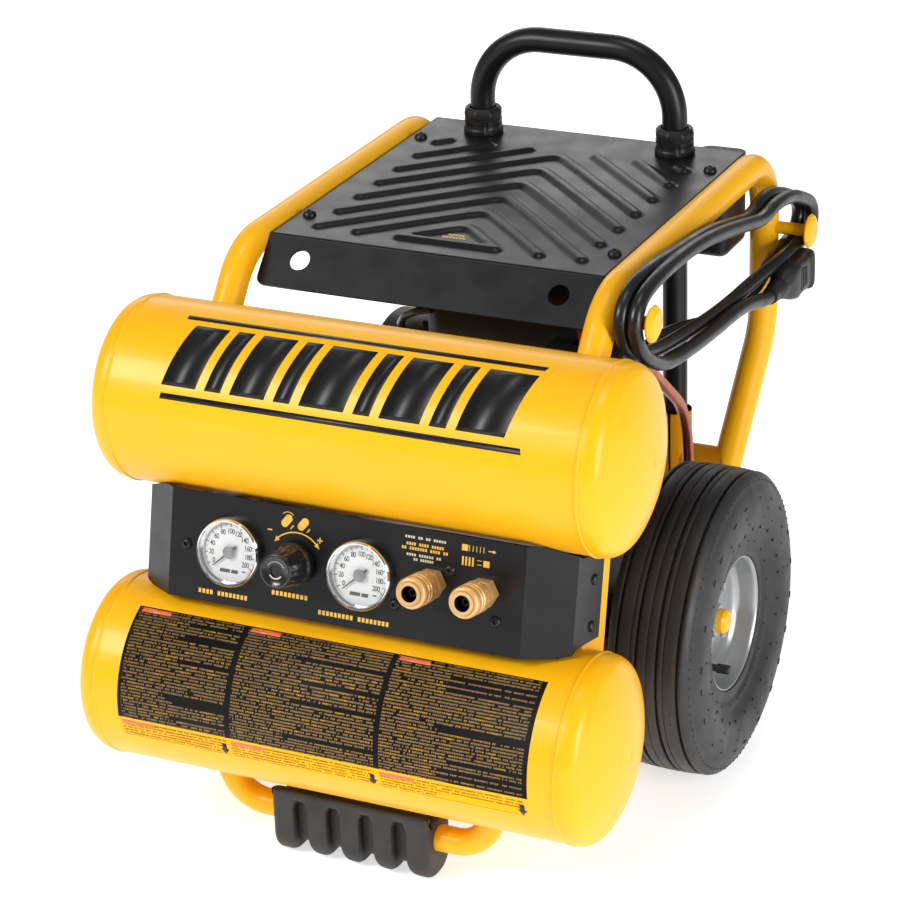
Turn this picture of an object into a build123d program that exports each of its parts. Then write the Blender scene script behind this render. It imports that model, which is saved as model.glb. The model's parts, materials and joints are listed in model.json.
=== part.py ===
"""A wheeled air compressor: two stacked tanks in a tubular frame, millimetres.

+Z is up, the front with the console faces -Y and +X is the right-hand side seen from the
front. The origin is on the floor, under the middle of the machine. The tanks lie along X,
the upper one behind the lower one, so everything between them leans back by the same angle.
"""

import os
from math import atan2, cos, degrees, hypot, radians, sin, tan

from build123d import *

os.makedirs("parts", exist_ok=True)

# ---- driving dimensions ----
TANK_R, TANK_LENGTH, TANK_WALL = 75.5, 465.7, 2.5
UPPER_Y, UPPER_Z = -166.6, 362.0
LOWER_Y, LOWER_Z = -217.8, 138.7
WELD_BEAD_X = 200.0

TUBE_R, TUBE_WALL = 12.7, 1.6
FRAME_X, FRAME_LOW_X = 160.0, 128.0
FRAME_TOP_Z, FRAME_LOW_Z = 456.0, 100.0
FRAME_REAR_Y = 283.0
FRONT_SLANT = radians(38.5)

PLATE_TOP, PLATE_T = 461.7, 2.5
PLATE_HALF_X, PLATE_FRONT_Y, PLATE_REAR_Y = 147.1, -54.0, 270.0
FLANGE_LENGTH, FLANGE_TILT = 43.0, radians(40)

HANDLE_R, HANDLE_X, HANDLE_Y = 11.0, 90.6, 246.4
HANDLE_TOP, HANDLE_BEND = 551.0, 57.0
HANDLE_FOOT = 154.2
COLLAR_R, COLLAR_H = 16.5, 24.0
SLIDE_FIT = 0.1

WHEEL_R, WHEEL_WIDTH, WHEEL_X = 130.0, 83.0, 194.5
AXLE_Y, AXLE_Z, AXLE_R = 37.6, 130.0, 8.0
RUN_FIT = 0.05

PANEL_OUT = 44.0
PANEL_FACE_X, PANEL_SIDE_X, PANEL_T = 153.0, 186.0, 2.0
PANEL_LOW, PANEL_HIGH = -41.0, 47.0
GAUGE_X, GAUGE_S = (-98.0, 16.5), 3.0
COUPLER_X, COUPLER_S = (77.0, 121.0), 6.5
KNOB_X = -41.0
MANIFOLD_FACE = -26.0

SHAFT_Y, SHAFT_Z, SHAFT_R = 80.0, 280.0, 10.0
CYLINDER_X, BORE_R, CRANK_THROW = 67.0, 28.08, 20.0
MOTOR_R, MOTOR_LEFT, MOTOR_RIGHT = 70.0, -78.0, 32.0
DECK_TOP, DECK_T = 178.0, 3.0
FOOT_TOP = 202.0
HEAD_Z = 410.0

CORD_R = 6.0
POST_X = 200.0
FRONT_POST = (-89.0, 443.0)
REAR_POST = (283.0, 391.5)

# ---- planes that follow the lean of the tanks ----
LEAN = atan2(UPPER_Y - LOWER_Y, UPPER_Z - LOWER_Z)
TANK_SPACING = hypot(UPPER_Y - LOWER_Y, UPPER_Z - LOWER_Z)
UP_LEAN = Vector(0, sin(LEAN), cos(LEAN))
OUTWARD = Vector(0, -cos(LEAN), sin(LEAN))
BETWEEN_TANKS = Vector(0, (UPPER_Y + LOWER_Y) / 2, (UPPER_Z + LOWER_Z) / 2)
ALONG_X = Vector(1, 0, 0)
ALONG_Y = Vector(0, 1, 0)
ALONG_Z = Vector(0, 0, 1)


def on_panel(x, s, out=0.0):
    """Plane parallel to the console face, at x across it and s up it, facing the user."""
    origin = BETWEEN_TANKS + ALONG_X * x + UP_LEAN * s + OUTWARD * (PANEL_OUT + out)
    return Plane(origin=origin, x_dir=ALONG_X, z_dir=OUTWARD)


def across_panel(s):
    """Plane square to the lean at height s, whose y runs backwards from the console face."""
    origin = BETWEEN_TANKS + UP_LEAN * s + OUTWARD * PANEL_OUT
    return Plane(origin=origin, x_dir=ALONG_X, z_dir=UP_LEAN)


def facing(x, y, z, axis):
    """Plane at a point, facing along an axis."""
    return Plane(origin=(x, y, z), z_dir=axis)


def spin(base, outline, mode=Mode.ADD):
    """Revolve an outline of (radius, distance) pairs about the axis of a plane."""
    section = Plane(origin=base.origin, x_dir=base.x_dir, z_dir=base.y_dir * -1)
    with BuildSketch(section) as profile:
        with BuildLine():
            Polyline(*outline, close=True)
        make_face()
    revolve(profile.sketch, axis=Axis(base.origin, base.z_dir), mode=mode)


def rod(base, radius, start, end, mode=Mode.ADD):
    """Straight round bar along the axis of a plane."""
    with BuildSketch(base.offset(start)) as profile:
        Circle(radius)
    extrude(profile.sketch, amount=end - start, mode=mode)


def block(x_span, y_span, z_span, mode=Mode.ADD):
    """Box between two limits on each axis."""
    middle = [(low + high) / 2 for low, high in (x_span, y_span, z_span)]
    size = [high - low for low, high in (x_span, y_span, z_span)]
    with Locations(tuple(middle)):
        Box(*size, mode=mode)


def cope_to_tanks():
    """Cut the piece back to the outside of both tanks."""
    for y, z in ((UPPER_Y, UPPER_Z), (LOWER_Y, LOWER_Z)):
        with Locations((0, y, z)):
            Cylinder(TANK_R, TANK_LENGTH, rotation=(0, 90, 0), mode=Mode.SUBTRACT)


def bend_radii(route, share=0.45):
    """Largest smooth bend at each inner point of a route, from its shorter run."""
    radii = []
    for before, here, after in zip(route, route[1:], route[2:]):
        run_in = Vector(*here) - Vector(*before)
        run_out = Vector(*after) - Vector(*here)
        turn = radians(run_in.get_angle(run_out))
        radii.append(share * min(run_in.length, run_out.length) / tan(turn / 2))
    return radii


def bent_tube(route, radii, outer, wall=0.0):
    """Sweep a round section along straight runs joined by arcs; wall 0 is solid."""
    with BuildLine() as path:
        FilletPolyline(*route, radius=radii)
    with BuildSketch(Plane(origin=path.line @ 0, z_dir=path.line % 0)) as section:
        Circle(outer)
        if wall:
            Circle(outer - wall, mode=Mode.SUBTRACT)
    sweep(section.sketch, path=path.line)
    return sum(edge.length for edge in path.edges())


def save(name, piece):
    """Label a finished piece and write it as one STEP file."""
    piece.part.label = name
    export_step(piece.part, f"parts/{name}.step")


# ---- tanks ----
def tank_half_section(inset, mode=Mode.ADD):
    """Dished-end outline: straight shell, small knuckle arc and large crown arc."""
    shell = TANK_R - inset
    crown = 2 * TANK_R - inset
    knuckle = 0.2 * TANK_R - inset
    crown_x = TANK_LENGTH / 2 - 2 * TANK_R
    knuckle_y = 0.8 * TANK_R
    straight_x = crown_x + (4 * 0.9 ** 2 * TANK_R ** 2 - knuckle_y ** 2) ** 0.5
    joint_angle = degrees(atan2(knuckle_y, straight_x - crown_x))
    with BuildLine() as outline:
        Line((0, shell), (straight_x, shell))
        CenterArc((straight_x, knuckle_y), knuckle, joint_angle, 90 - joint_angle)
        CenterArc((crown_x, 0), crown, 0, joint_angle)
        mirror(about=Plane.YZ)
        Line((-crown_x - crown, 0), (crown_x + crown, 0))
    make_face(outline.edges(), mode=mode)


def make_tank(y, z, ports):
    """Hollow tank along X with a weld bead at each head; ports are (plane, radius)."""
    with BuildPart() as tank:
        with BuildSketch(Plane(origin=(0, y, z), x_dir=ALONG_X, z_dir=ALONG_Y * -1)):
            tank_half_section(0)
            tank_half_section(TANK_WALL, mode=Mode.SUBTRACT)
        revolve(axis=Axis((0, y, z), ALONG_X))
        with Locations((-WELD_BEAD_X, y, z), (WELD_BEAD_X, y, z)):
            Torus(TANK_R - 0.7, 1.7, rotation=(0, 90, 0))
        for port, radius in ports:
            rod(port, radius, -TANK_R * 0.6, TANK_R * 0.6, mode=Mode.SUBTRACT)
    return tank


FEED_X, FEED_OUT, FEED_BORE = -110.0, -37.0, 4.0
CROSS_X, CROSS_BORE = 155.0, 6.0
RELIEF_X, VALVE_BORE = -120.0, 1.6
SWITCH_X, SWITCH_PORT_R = 132.0, 3.0
CHECK_X, CHECK_Z = 108.0, 188.0
DRAIN_X, DRAIN_Y = -150.0, -185.0



def on_lean(x, s):
    """Plane in the middle between the tanks' axes, at x across and s up the lean."""
    return Plane(origin=BETWEEN_TANKS + ALONG_X * x + UP_LEAN * s, x_dir=ALONG_X, z_dir=UP_LEAN)


NEAR_TANK_S = TANK_SPACING / 2 - TANK_R
upper_ports = [
    (on_lean(CROSS_X, NEAR_TANK_S), CROSS_BORE),
    (on_lean(FEED_X, NEAR_TANK_S), FEED_BORE),
    (facing(RELIEF_X, UPPER_Y + TANK_R, UPPER_Z, ALONG_Y), VALVE_BORE),
    (facing(SWITCH_X, UPPER_Y + TANK_R, UPPER_Z, ALONG_Y), SWITCH_PORT_R),
]
lower_ports = [
    (on_lean(CROSS_X, -NEAR_TANK_S), CROSS_BORE),
    (facing(CHECK_X, LOWER_Y + TANK_R, CHECK_Z, ALONG_Y), SWITCH_PORT_R),
    (facing(DRAIN_X, DRAIN_Y, LOWER_Z - TANK_R, ALONG_Z), SWITCH_PORT_R),
]
save("upper_tank", make_tank(UPPER_Y, UPPER_Z, upper_ports))
save("lower_tank", make_tank(LOWER_Y, LOWER_Z, lower_ports))

# ---- brackets between the tanks, behind the console's side flanges ----
BRACKET_X, BRACKET_T = 184.0, 5.0
BRACKET_BACK, BRACKET_FRONT = 96.0, 50.0
FLANGE_SCREW_S, FLANGE_SCREW_OUT, FLANGE_SCREW_R = (14.7, -22.7), -60.0, 2.0

with BuildPart() as tank_brackets:
    for side in (-1, 1):
        middle = (side * (BRACKET_X - BRACKET_T / 2), (BRACKET_BACK + BRACKET_FRONT) / 2)
        with BuildSketch(across_panel(-60)):
            with Locations(middle):
                Rectangle(BRACKET_T, BRACKET_BACK - BRACKET_FRONT)
        extrude(amount=120)
    cope_to_tanks()
    for s in FLANGE_SCREW_S:
        origin = on_panel(0, s, FLANGE_SCREW_OUT).origin
        rod(facing(*tuple(origin), ALONG_X), FLANGE_SCREW_R, -200, 200, mode=Mode.SUBTRACT)
save("tank_brackets", tank_brackets)

# ---- crossover pipe that joins the two tanks ----
with BuildPart() as crossover_pipe:
    rod(on_lean(CROSS_X, 0), 8.5, -46, 46)
    cope_to_tanks()
    rod(on_lean(CROSS_X, 0), CROSS_BORE, -60, 60, mode=Mode.SUBTRACT)
save("crossover_pipe", crossover_pipe)

# ---- frame tubes, one each side ----
TAB_Y, TAB_SIZE, TAB_T, PLATE_SCREW_X, PLATE_SCREW_R = (-4.0, 212.0), 26.0, 3.0, 136.0, 3.0
BRACKET_HALF_Y, EAR_T = 22.0, 6.0
front_corner_y = -76.8
slant = Vector(0, sin(FRONT_SLANT), cos(FRONT_SLANT)) * 75
frame_route = [
    (FRAME_X, front_corner_y - slant.Y, FRAME_TOP_Z - slant.Z),
    (FRAME_X, front_corner_y, FRAME_TOP_Z),
    (FRAME_X, FRAME_REAR_Y, FRAME_TOP_Z),
    (FRAME_X, FRAME_REAR_Y, 300),
    (FRAME_LOW_X, 225, FRAME_LOW_Z),
    (FRAME_LOW_X, -165, FRAME_LOW_Z),
]
FRAME_BENDS = [60, 46, 150, 48]
POST_R, POST_CAP_R, POST_CAP_T = 5.5, 15.0, 5.0


def frame_tube(side):
    """Bent side tube with two plate tabs, the axle ear and, on the right, the cord posts."""
    with BuildPart() as piece:
        route = [(side * x, y, z) for x, y, z in frame_route]
        bent_tube(route, FRAME_BENDS, TUBE_R, TUBE_WALL)
        core = side * FRAME_X
        for y in TAB_Y:
            edge_x = side * (FRAME_X - TUBE_R + 1)
            inner_x = side * (PLATE_SCREW_X - TAB_SIZE / 2)
            under = PLATE_TOP - PLATE_T
            block(sorted((edge_x, inner_x)), (y - TAB_SIZE / 2, y + TAB_SIZE / 2), (under - TAB_T, under))
            rod(facing(side * PLATE_SCREW_X, y, under, ALONG_Z), PLATE_SCREW_R, -20, 5, mode=Mode.SUBTRACT)
        ear_x = (side * FRAME_LOW_X - EAR_T / 2, side * FRAME_LOW_X + EAR_T / 2)
        block(ear_x, (AXLE_Y - BRACKET_HALF_Y, AXLE_Y + BRACKET_HALF_Y), (FRAME_LOW_Z + TUBE_R - 1.2, 152))
        rod(facing(side * FRAME_LOW_X, AXLE_Y, AXLE_Z, ALONG_X), AXLE_R, -20, 20, mode=Mode.SUBTRACT)
        if side > 0:
            for y, z in (FRONT_POST, REAR_POST):
                base = facing(0, y, z, ALONG_X)
                rod(base, POST_R, core + TUBE_R - 1.2, POST_X + 2)
                cap = [(0, POST_X), (POST_CAP_R - 2, POST_X), (POST_CAP_R, POST_X + 2)]
                cap += [(POST_CAP_R - 1, POST_X + POST_CAP_T - 1), (POST_CAP_R - 5, POST_X + POST_CAP_T + 1)]
                spin(base, cap + [(0, POST_X + POST_CAP_T + 1.5)])
        cope_to_tanks()
    return piece


left_frame = frame_tube(-1)
right_frame = frame_tube(1)
save("left_frame_tube", left_frame)
save("right_frame_tube", right_frame)

# ---- cross tubes; the rear one carries the two cups that guide the handle's legs ----
CROSS_TUBES = ((-60.0, FRAME_LOW_Z, FRAME_LOW_X), (170.0, FRAME_LOW_Z, FRAME_LOW_X))
CROSSBAR_Z, CUP_R, CUP_BOTTOM, CUP_TOP = 177.0, 15.0, 149.0, 222.0
CROSSBAR_HALF = 139.0

with BuildPart() as cross_tubes:
    for y, z, half in CROSS_TUBES + ((HANDLE_Y, CROSSBAR_Z, CROSSBAR_HALF),):
        rod(facing(0, y, z, ALONG_X), TUBE_R, -half, half)
        rod(facing(0, y, z, ALONG_X), TUBE_R - TUBE_WALL, -half, half, mode=Mode.SUBTRACT)
    for side in (-1, 1):
        cup = facing(side * HANDLE_X, HANDLE_Y, 0, ALONG_Z)
        rod(cup, CUP_R, CUP_BOTTOM, CUP_TOP)
        rod(cup, HANDLE_R + SLIDE_FIT, HANDLE_FOOT - 0.2, CUP_TOP, mode=Mode.SUBTRACT)
        route = [(side * x, y, z) for x, y, z in frame_route]
        with BuildLine() as centre:
            FilletPolyline(*route, radius=FRAME_BENDS)
        with BuildSketch(Plane(origin=centre.line @ 0, z_dir=centre.line % 0)):
            Circle(TUBE_R)
        sweep(path=centre.line, mode=Mode.SUBTRACT)
save("cross_tubes", cross_tubes)

# ---- axle with its two spacer shoulders ----
AXLE_HALF, SPACER_IN, SPACER_OUT, SPACER_R = 214.0, FRAME_LOW_X + EAR_T / 2, 156.5, 11.0
with BuildPart() as axle:
    half = [(SPACER_R, SPACER_IN), (SPACER_R, SPACER_OUT), (AXLE_R, SPACER_OUT), (AXLE_R, AXLE_HALF)]
    outline = [(AXLE_R, SPACER_IN)] + half + [(0, AXLE_HALF), (0, -AXLE_HALF)]
    outline += [(radius, -reach) for radius, reach in reversed(half)] + [(AXLE_R, -SPACER_IN)]
    spin(facing(0, AXLE_Y, AXLE_Z, ALONG_X), outline)
save("axle", axle)

# ---- motor deck: folded channel between the lower tubes ----
DECK_Y = (-40.0, 150.0)
DECK_HALF = FRAME_LOW_X - TUBE_R
MOUNT_SPOTS = [(-48.0, 45.0), (-48.0, 115.0), (67.0, 45.0), (67.0, 115.0)]
with BuildPart() as motor_deck:
    block((-DECK_HALF, DECK_HALF), DECK_Y, (DECK_TOP - DECK_T, DECK_TOP))
    for side in (-1, 1):
        wall = sorted((side * DECK_HALF, side * (DECK_HALF - DECK_T)))
        block(wall, DECK_Y, (FRAME_LOW_Z - 8, DECK_TOP - DECK_T))
    rod(facing(0, AXLE_Y, AXLE_Z, ALONG_X), AXLE_R, -130, 130, mode=Mode.SUBTRACT)
save("motor_deck", motor_deck)

with BuildPart() as rubber_mounts:
    for x, y in MOUNT_SPOTS:
        waist = [(0, DECK_TOP), (13, DECK_TOP), (13, DECK_TOP + 6), (10, DECK_TOP + 12)]
        spin(facing(x, y, 0, ALONG_Z), waist + [(13, FOOT_TOP - 6), (13, FOOT_TOP), (0, FOOT_TOP)])
save("rubber_mounts", rubber_mounts)

# ---- top plate: folded sheet with raised chevron ribs ----
RIB_HALF, RIB_HEIGHT, RIB_PITCH, RIB_FIRST, RIB_REACH = 5.5, 3.0, 38.1, 15.4, 115.0
RIB_COUNT, RIB_FRONT, RIB_BACK = 9, -26.0, 210.0
HOLE_X, HOLE_DOWN, HOLE_R = 114.0, 20.5, 9.0


def rib_arm(apex_y, side):
    """One straight 45-degree arm of a chevron, or the stretch of it that fits on the plate."""
    start = max(0.0, apex_y - RIB_BACK)
    end = min(RIB_REACH, apex_y - RIB_FRONT)
    if end - start < 4:
        return
    bump_along(Vector(side * start, apex_y - start, PLATE_TOP), Vector(side * end, apex_y - end, PLATE_TOP))


def bump_along(first, last):
    """Raised rounded rib from one point on the plate to another."""
    with BuildSketch(Plane(origin=first, x_dir=ALONG_Z.cross(last - first), z_dir=last - first)) as bump:
        with BuildLine():
            ThreePointArc((-RIB_HALF, 0), (0, RIB_HEIGHT), (RIB_HALF, 0))
            Line((RIB_HALF, 0), (RIB_HALF, -1))
            Line((RIB_HALF, -1), (-RIB_HALF, -1))
            Line((-RIB_HALF, -1), (-RIB_HALF, 0))
        make_face()
    extrude(bump.sketch, amount=(last - first).length)


with BuildPart() as top_plate:
    block((-PLATE_HALF_X, PLATE_HALF_X), (PLATE_FRONT_Y, PLATE_REAR_Y), (PLATE_TOP - PLATE_T, PLATE_TOP))
    flange_dir = Vector(0, -sin(FLANGE_TILT), -cos(FLANGE_TILT))
    flange_out = Vector(0, -cos(FLANGE_TILT), sin(FLANGE_TILT))
    fold = Vector(0, PLATE_FRONT_Y, PLATE_TOP)
    with BuildSketch(Plane(origin=fold, x_dir=ALONG_X, z_dir=flange_out)):
        with Locations((0, -FLANGE_LENGTH / 2)):
            Rectangle(2 * PLATE_HALF_X, FLANGE_LENGTH)
    extrude(amount=-PLATE_T)
    for index in range(RIB_COUNT):
        for side in (-1, 1):
            rib_arm(RIB_FIRST + index * RIB_PITCH, side)
    base_end = RIB_FIRST - RIB_FRONT - RIB_HALF
    bump_along(Vector(-base_end, RIB_FRONT, PLATE_TOP), Vector(base_end, RIB_FRONT, PLATE_TOP))
    for side in (-1, 1):
        hole = fold + flange_dir * HOLE_DOWN + ALONG_X * side * HOLE_X
        rod(Plane(origin=hole, x_dir=ALONG_X, z_dir=flange_out), HOLE_R, -10, 10, mode=Mode.SUBTRACT)
        rod(facing(side * HANDLE_X, HANDLE_Y, PLATE_TOP, ALONG_Z), HANDLE_R + 1, -10, 10, mode=Mode.SUBTRACT)
        for y in TAB_Y:
            spot = facing(side * PLATE_SCREW_X, y, PLATE_TOP, ALONG_Z)
            rod(spot, PLATE_SCREW_R, -10, 10, mode=Mode.SUBTRACT)
save("top_plate", top_plate)

# ---- screws: four on the plate, four on the console face and four on its side flanges ----
FACE_SCREWS = [(-138.0, 3.0), (90.5, 18.5), (131.0, -15.5), (46.0, -16.0)]
FACE_SCREW_R = 1.6
with BuildPart() as screws:
    for x in (-PLATE_SCREW_X, PLATE_SCREW_X):
        for y in TAB_Y:
            dome = [(0, -12), (PLATE_SCREW_R, -12), (PLATE_SCREW_R, 0), (6, 0), (5, 3), (2.5, 4.4), (0, 4.6)]
            spin(facing(x, y, PLATE_TOP, ALONG_Z), dome)
    for x, s in FACE_SCREWS:
        pan = [(0, -6), (FACE_SCREW_R, -6), (FACE_SCREW_R, 0), (4, 0), (3.6, 2), (0, 2.5)]
        spin(on_panel(x, s), pan)
    for side in (-1, 1):
        for s in FLANGE_SCREW_S:
            centre = on_panel(side * PANEL_SIDE_X, s, FLANGE_SCREW_OUT).origin
            pan = [(0, -7), (FLANGE_SCREW_R, -7), (FLANGE_SCREW_R, 0), (4.5, 0), (4, 2), (0, 2.6)]
            spin(facing(*tuple(centre), ALONG_X * side), pan)
save("screws", screws)

# ---- console panel: folded sheet whose sides reach back to the brackets ----
CHAMFER_BACK, SIDE_BACK = 25.0, 78.0
with BuildPart() as console_panel:
    with BuildSketch(across_panel(PANEL_LOW)):
        outer = [(-PANEL_SIDE_X, SIDE_BACK), (-PANEL_SIDE_X, CHAMFER_BACK), (-PANEL_FACE_X, 0)]
        outer += [(-x, y) for x, y in reversed(outer)]
        shift = PANEL_T * tan(atan2(PANEL_SIDE_X - PANEL_FACE_X, CHAMFER_BACK) / 2)
        lean_in = PANEL_T * tan(atan2(CHAMFER_BACK, PANEL_SIDE_X - PANEL_FACE_X) / 2)
        inner = [(-PANEL_SIDE_X + PANEL_T, SIDE_BACK + 1), (-PANEL_SIDE_X + PANEL_T, CHAMFER_BACK + shift)]
        inner += [(-PANEL_FACE_X + lean_in, PANEL_T)]
        inner += [(-x, y) for x, y in reversed(inner)]
        with BuildLine():
            Polyline(*outer, close=True)
        make_face()
        with BuildLine():
            Polyline(*inner, close=True)
        make_face(mode=Mode.SUBTRACT)
    extrude(amount=PANEL_HIGH - PANEL_LOW)
    side_view = Plane(origin=on_panel(-200, 0).origin, x_dir=OUTWARD * -1, z_dir=ALONG_X)
    with BuildSketch(side_view):
        with BuildLine():
            Polyline((-5, -41), (18, -41), (34, -35), (90, -35), (90, 35), (34, 36), (22, 41),
                     (12, 45.5), (6, 47), (-5, 47), close=True)
        make_face()
    extrude(amount=400, mode=Mode.INTERSECT)
    for x in GAUGE_X:
        rod(on_panel(x, GAUGE_S), 24.2, -10, 5, mode=Mode.SUBTRACT)
    rod(on_panel(KNOB_X, GAUGE_S), 13.2, -10, 5, mode=Mode.SUBTRACT)
    for x in COUPLER_X:
        rod(on_panel(x, COUPLER_S), 7.2, -10, 5, mode=Mode.SUBTRACT)
    for x, s in FACE_SCREWS:
        rod(on_panel(x, s), FACE_SCREW_R, -10, 5, mode=Mode.SUBTRACT)
    for s in FLANGE_SCREW_S:
        origin = on_panel(0, s, FLANGE_SCREW_OUT).origin
        rod(facing(*tuple(origin), ALONG_X), FLANGE_SCREW_R, -200, 200, mode=Mode.SUBTRACT)
save("console_panel", console_panel)

# ---- air manifold behind the panel ----
with BuildPart() as air_manifold:
    with BuildSketch(on_panel(10, GAUGE_S, MANIFOLD_FACE)):
        Rectangle(258, 22)
    extrude(amount=-22)
    feed = Plane(origin=on_panel(FEED_X, 0, FEED_OUT).origin, z_dir=UP_LEAN)
    rod(feed, 7, 10, 46)
    cope_to_tanks()
    rod(feed, FEED_BORE, 3, 60, mode=Mode.SUBTRACT)
save("air_manifold", air_manifold)

# ---- gauges ----
CASE_R, BEZEL_R, BEZEL_OUT, SPINDLE_R = 24.0, 28.0, 9.0, 0.75
DIAL_BACK, DIAL_FRONT, LENS_BACK, LENS_FRONT = 1.5, 2.3, 6.4, 7.9
DISC_R, RECESS_R = 25.4, 25.5
with BuildPart() as gauge_cases:
    for x in GAUGE_X:
        body = [(0, MANIFOLD_FACE), (6, MANIFOLD_FACE), (6, -22), (CASE_R, -22), (CASE_R, 0), (BEZEL_R, 0)]
        bezel = [(BEZEL_R, BEZEL_OUT - 2), (BEZEL_R - 1.5, BEZEL_OUT), (24.5, BEZEL_OUT), (24.5, LENS_FRONT)]
        recess = [(RECESS_R, LENS_FRONT), (RECESS_R, DIAL_BACK), (22, DIAL_BACK)]
        recess += [(22, -18), (6, -18), (6, -2)]
        bush = [(SPINDLE_R + RUN_FIT, -2), (SPINDLE_R + RUN_FIT, -12), (0, -12)]
        spin(on_panel(x, GAUGE_S), body + bezel + recess + bush)
save("gauge_cases", gauge_cases)

with BuildPart() as gauge_dials:
    for x in GAUGE_X:
        rod(on_panel(x, GAUGE_S), DISC_R, DIAL_BACK, DIAL_FRONT)
        rod(on_panel(x, GAUGE_S), SPINDLE_R + RUN_FIT, 0, 5, mode=Mode.SUBTRACT)
save("gauge_dials", gauge_dials)

with BuildPart() as gauge_lenses:
    for x in GAUGE_X:
        rod(on_panel(x, GAUGE_S), DISC_R, LENS_BACK, LENS_FRONT)
save("gauge_lenses", gauge_lenses)

NEEDLE_REST = 132.0
for name, x in zip(("left_needle", "right_needle"), GAUGE_X):
    with BuildPart() as needle:
        rod(on_panel(x, GAUGE_S), SPINDLE_R, -11.5, 4.6)
        rod(on_panel(x, GAUGE_S), 3, 3.6, 4.6)
        with BuildSketch(on_panel(x, GAUGE_S, 3.7)):
            with BuildLine():
                Polyline((-1.1, -8), (-0.7, 5), (-0.35, 19), (0.35, 19), (0.7, 5), (1.1, -8), close=True)
            make_face()
            Circle(SPINDLE_R + 0.2)
        extrude(amount=0.6)
    turned = needle.part.rotate(Axis(on_panel(x, GAUGE_S).origin, OUTWARD), NEEDLE_REST)
    turned.label = name
    export_step(turned, f"parts/{name}.step")

# ---- regulator ----
BONNET_OUT, STEM_R = 4.0, 4.0
with BuildPart() as regulator_body:
    shell = [(0, MANIFOLD_FACE), (16, MANIFOLD_FACE), (16, -3), (13, -3), (13, BONNET_OUT)]
    well = [(STEM_R + RUN_FIT, BONNET_OUT), (STEM_R + RUN_FIT, -14), (0, -14)]
    spin(on_panel(KNOB_X, GAUGE_S), shell + well)
save("regulator_body", regulator_body)

with BuildPart() as regulator_stem:
    rod(on_panel(KNOB_X, GAUGE_S), STEM_R, -13, 18)
save("regulator_stem", regulator_stem)

with BuildPart() as regulator_knob:
    skirt = [(STEM_R + RUN_FIT, 5), (17.5, 5), (17.5, 9), (16, 11), (13.5, 33), (12.5, 35), (0, 35)]
    spin(on_panel(KNOB_X, GAUGE_S), skirt + [(0, 24), (STEM_R + RUN_FIT, 24)])
    with BuildSketch(on_panel(KNOB_X, GAUGE_S, 12)):
        with PolarLocations(16.5, 14):
            Circle(1.6)
    extrude(amount=18, mode=Mode.SUBTRACT)
save("regulator_knob", regulator_knob)

# ---- quick couplers: threaded body with a hex, and a sleeve that slides back ----
MOUTH_R, MOUTH_DEEP, BARREL_R, BARREL_OUT = 6.5, 23.0, 9.0, 43.0
with BuildPart() as coupler_bodies:
    for x in COUPLER_X:
        base = on_panel(x, COUPLER_S)
        lower = [(3, MANIFOLD_FACE), (7, MANIFOLD_FACE), (7, 1), (BARREL_R, 1), (BARREL_R, BARREL_OUT)]
        mouth = [(MOUTH_R, BARREL_OUT), (MOUTH_R, BARREL_OUT - MOUTH_DEEP), (3, BARREL_OUT - MOUTH_DEEP)]
        spin(base, lower + mouth)
        with BuildSketch(base.offset(0.5)):
            RegularPolygon(12, 6)
            Circle(BARREL_R - 1, mode=Mode.SUBTRACT)
        extrude(amount=9)
save("coupler_bodies", coupler_bodies)

for name, x in zip(("left_sleeve", "right_sleeve"), COUPLER_X):
    with BuildPart() as sleeve:
        inner = [(BARREL_R + RUN_FIT, 16), (11.6, 16), (12.7, 17.5), (12.7, 21), (11.7, 22), (11.7, 24)]
        inner += [(12.7, 25), (12.7, 33), (11.9, 34), (11.9, 36), (12.7, 37), (12.7, 39.5), (11.4, 41.5)]
        spin(on_panel(x, COUPLER_S), inner + [(BARREL_R + RUN_FIT, 41.5)])
    save(name, sleeve)

# ---- relief valve and its pull ring ----
relief = facing(RELIEF_X, 0, UPPER_Z, ALONG_Y)
tank_back = UPPER_Y + TANK_R
with BuildPart() as relief_valve:
    rod(relief, 6, tank_back - 6, tank_back + 10)
    cope_to_tanks()
    with BuildSketch(relief.offset(tank_back + 3)):
        RegularPolygon(8, 6)
    extrude(amount=9)
    rod(relief, 7, tank_back + 12, tank_back + 30)
    rod(relief, VALVE_BORE, tank_back - 20, tank_back + 31, mode=Mode.SUBTRACT)
save("relief_valve", relief_valve)

RING_R, RING_WIRE = 9.0, 1.3
with BuildPart() as relief_ring:
    rod(relief, VALVE_BORE - RUN_FIT, tank_back + 14, tank_back + 33)
    with Locations((RELIEF_X, tank_back + 32 + RING_R, UPPER_Z)):
        Torus(RING_R, RING_WIRE, rotation=(0, 90, 0))
save("relief_ring", relief_ring)

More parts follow.
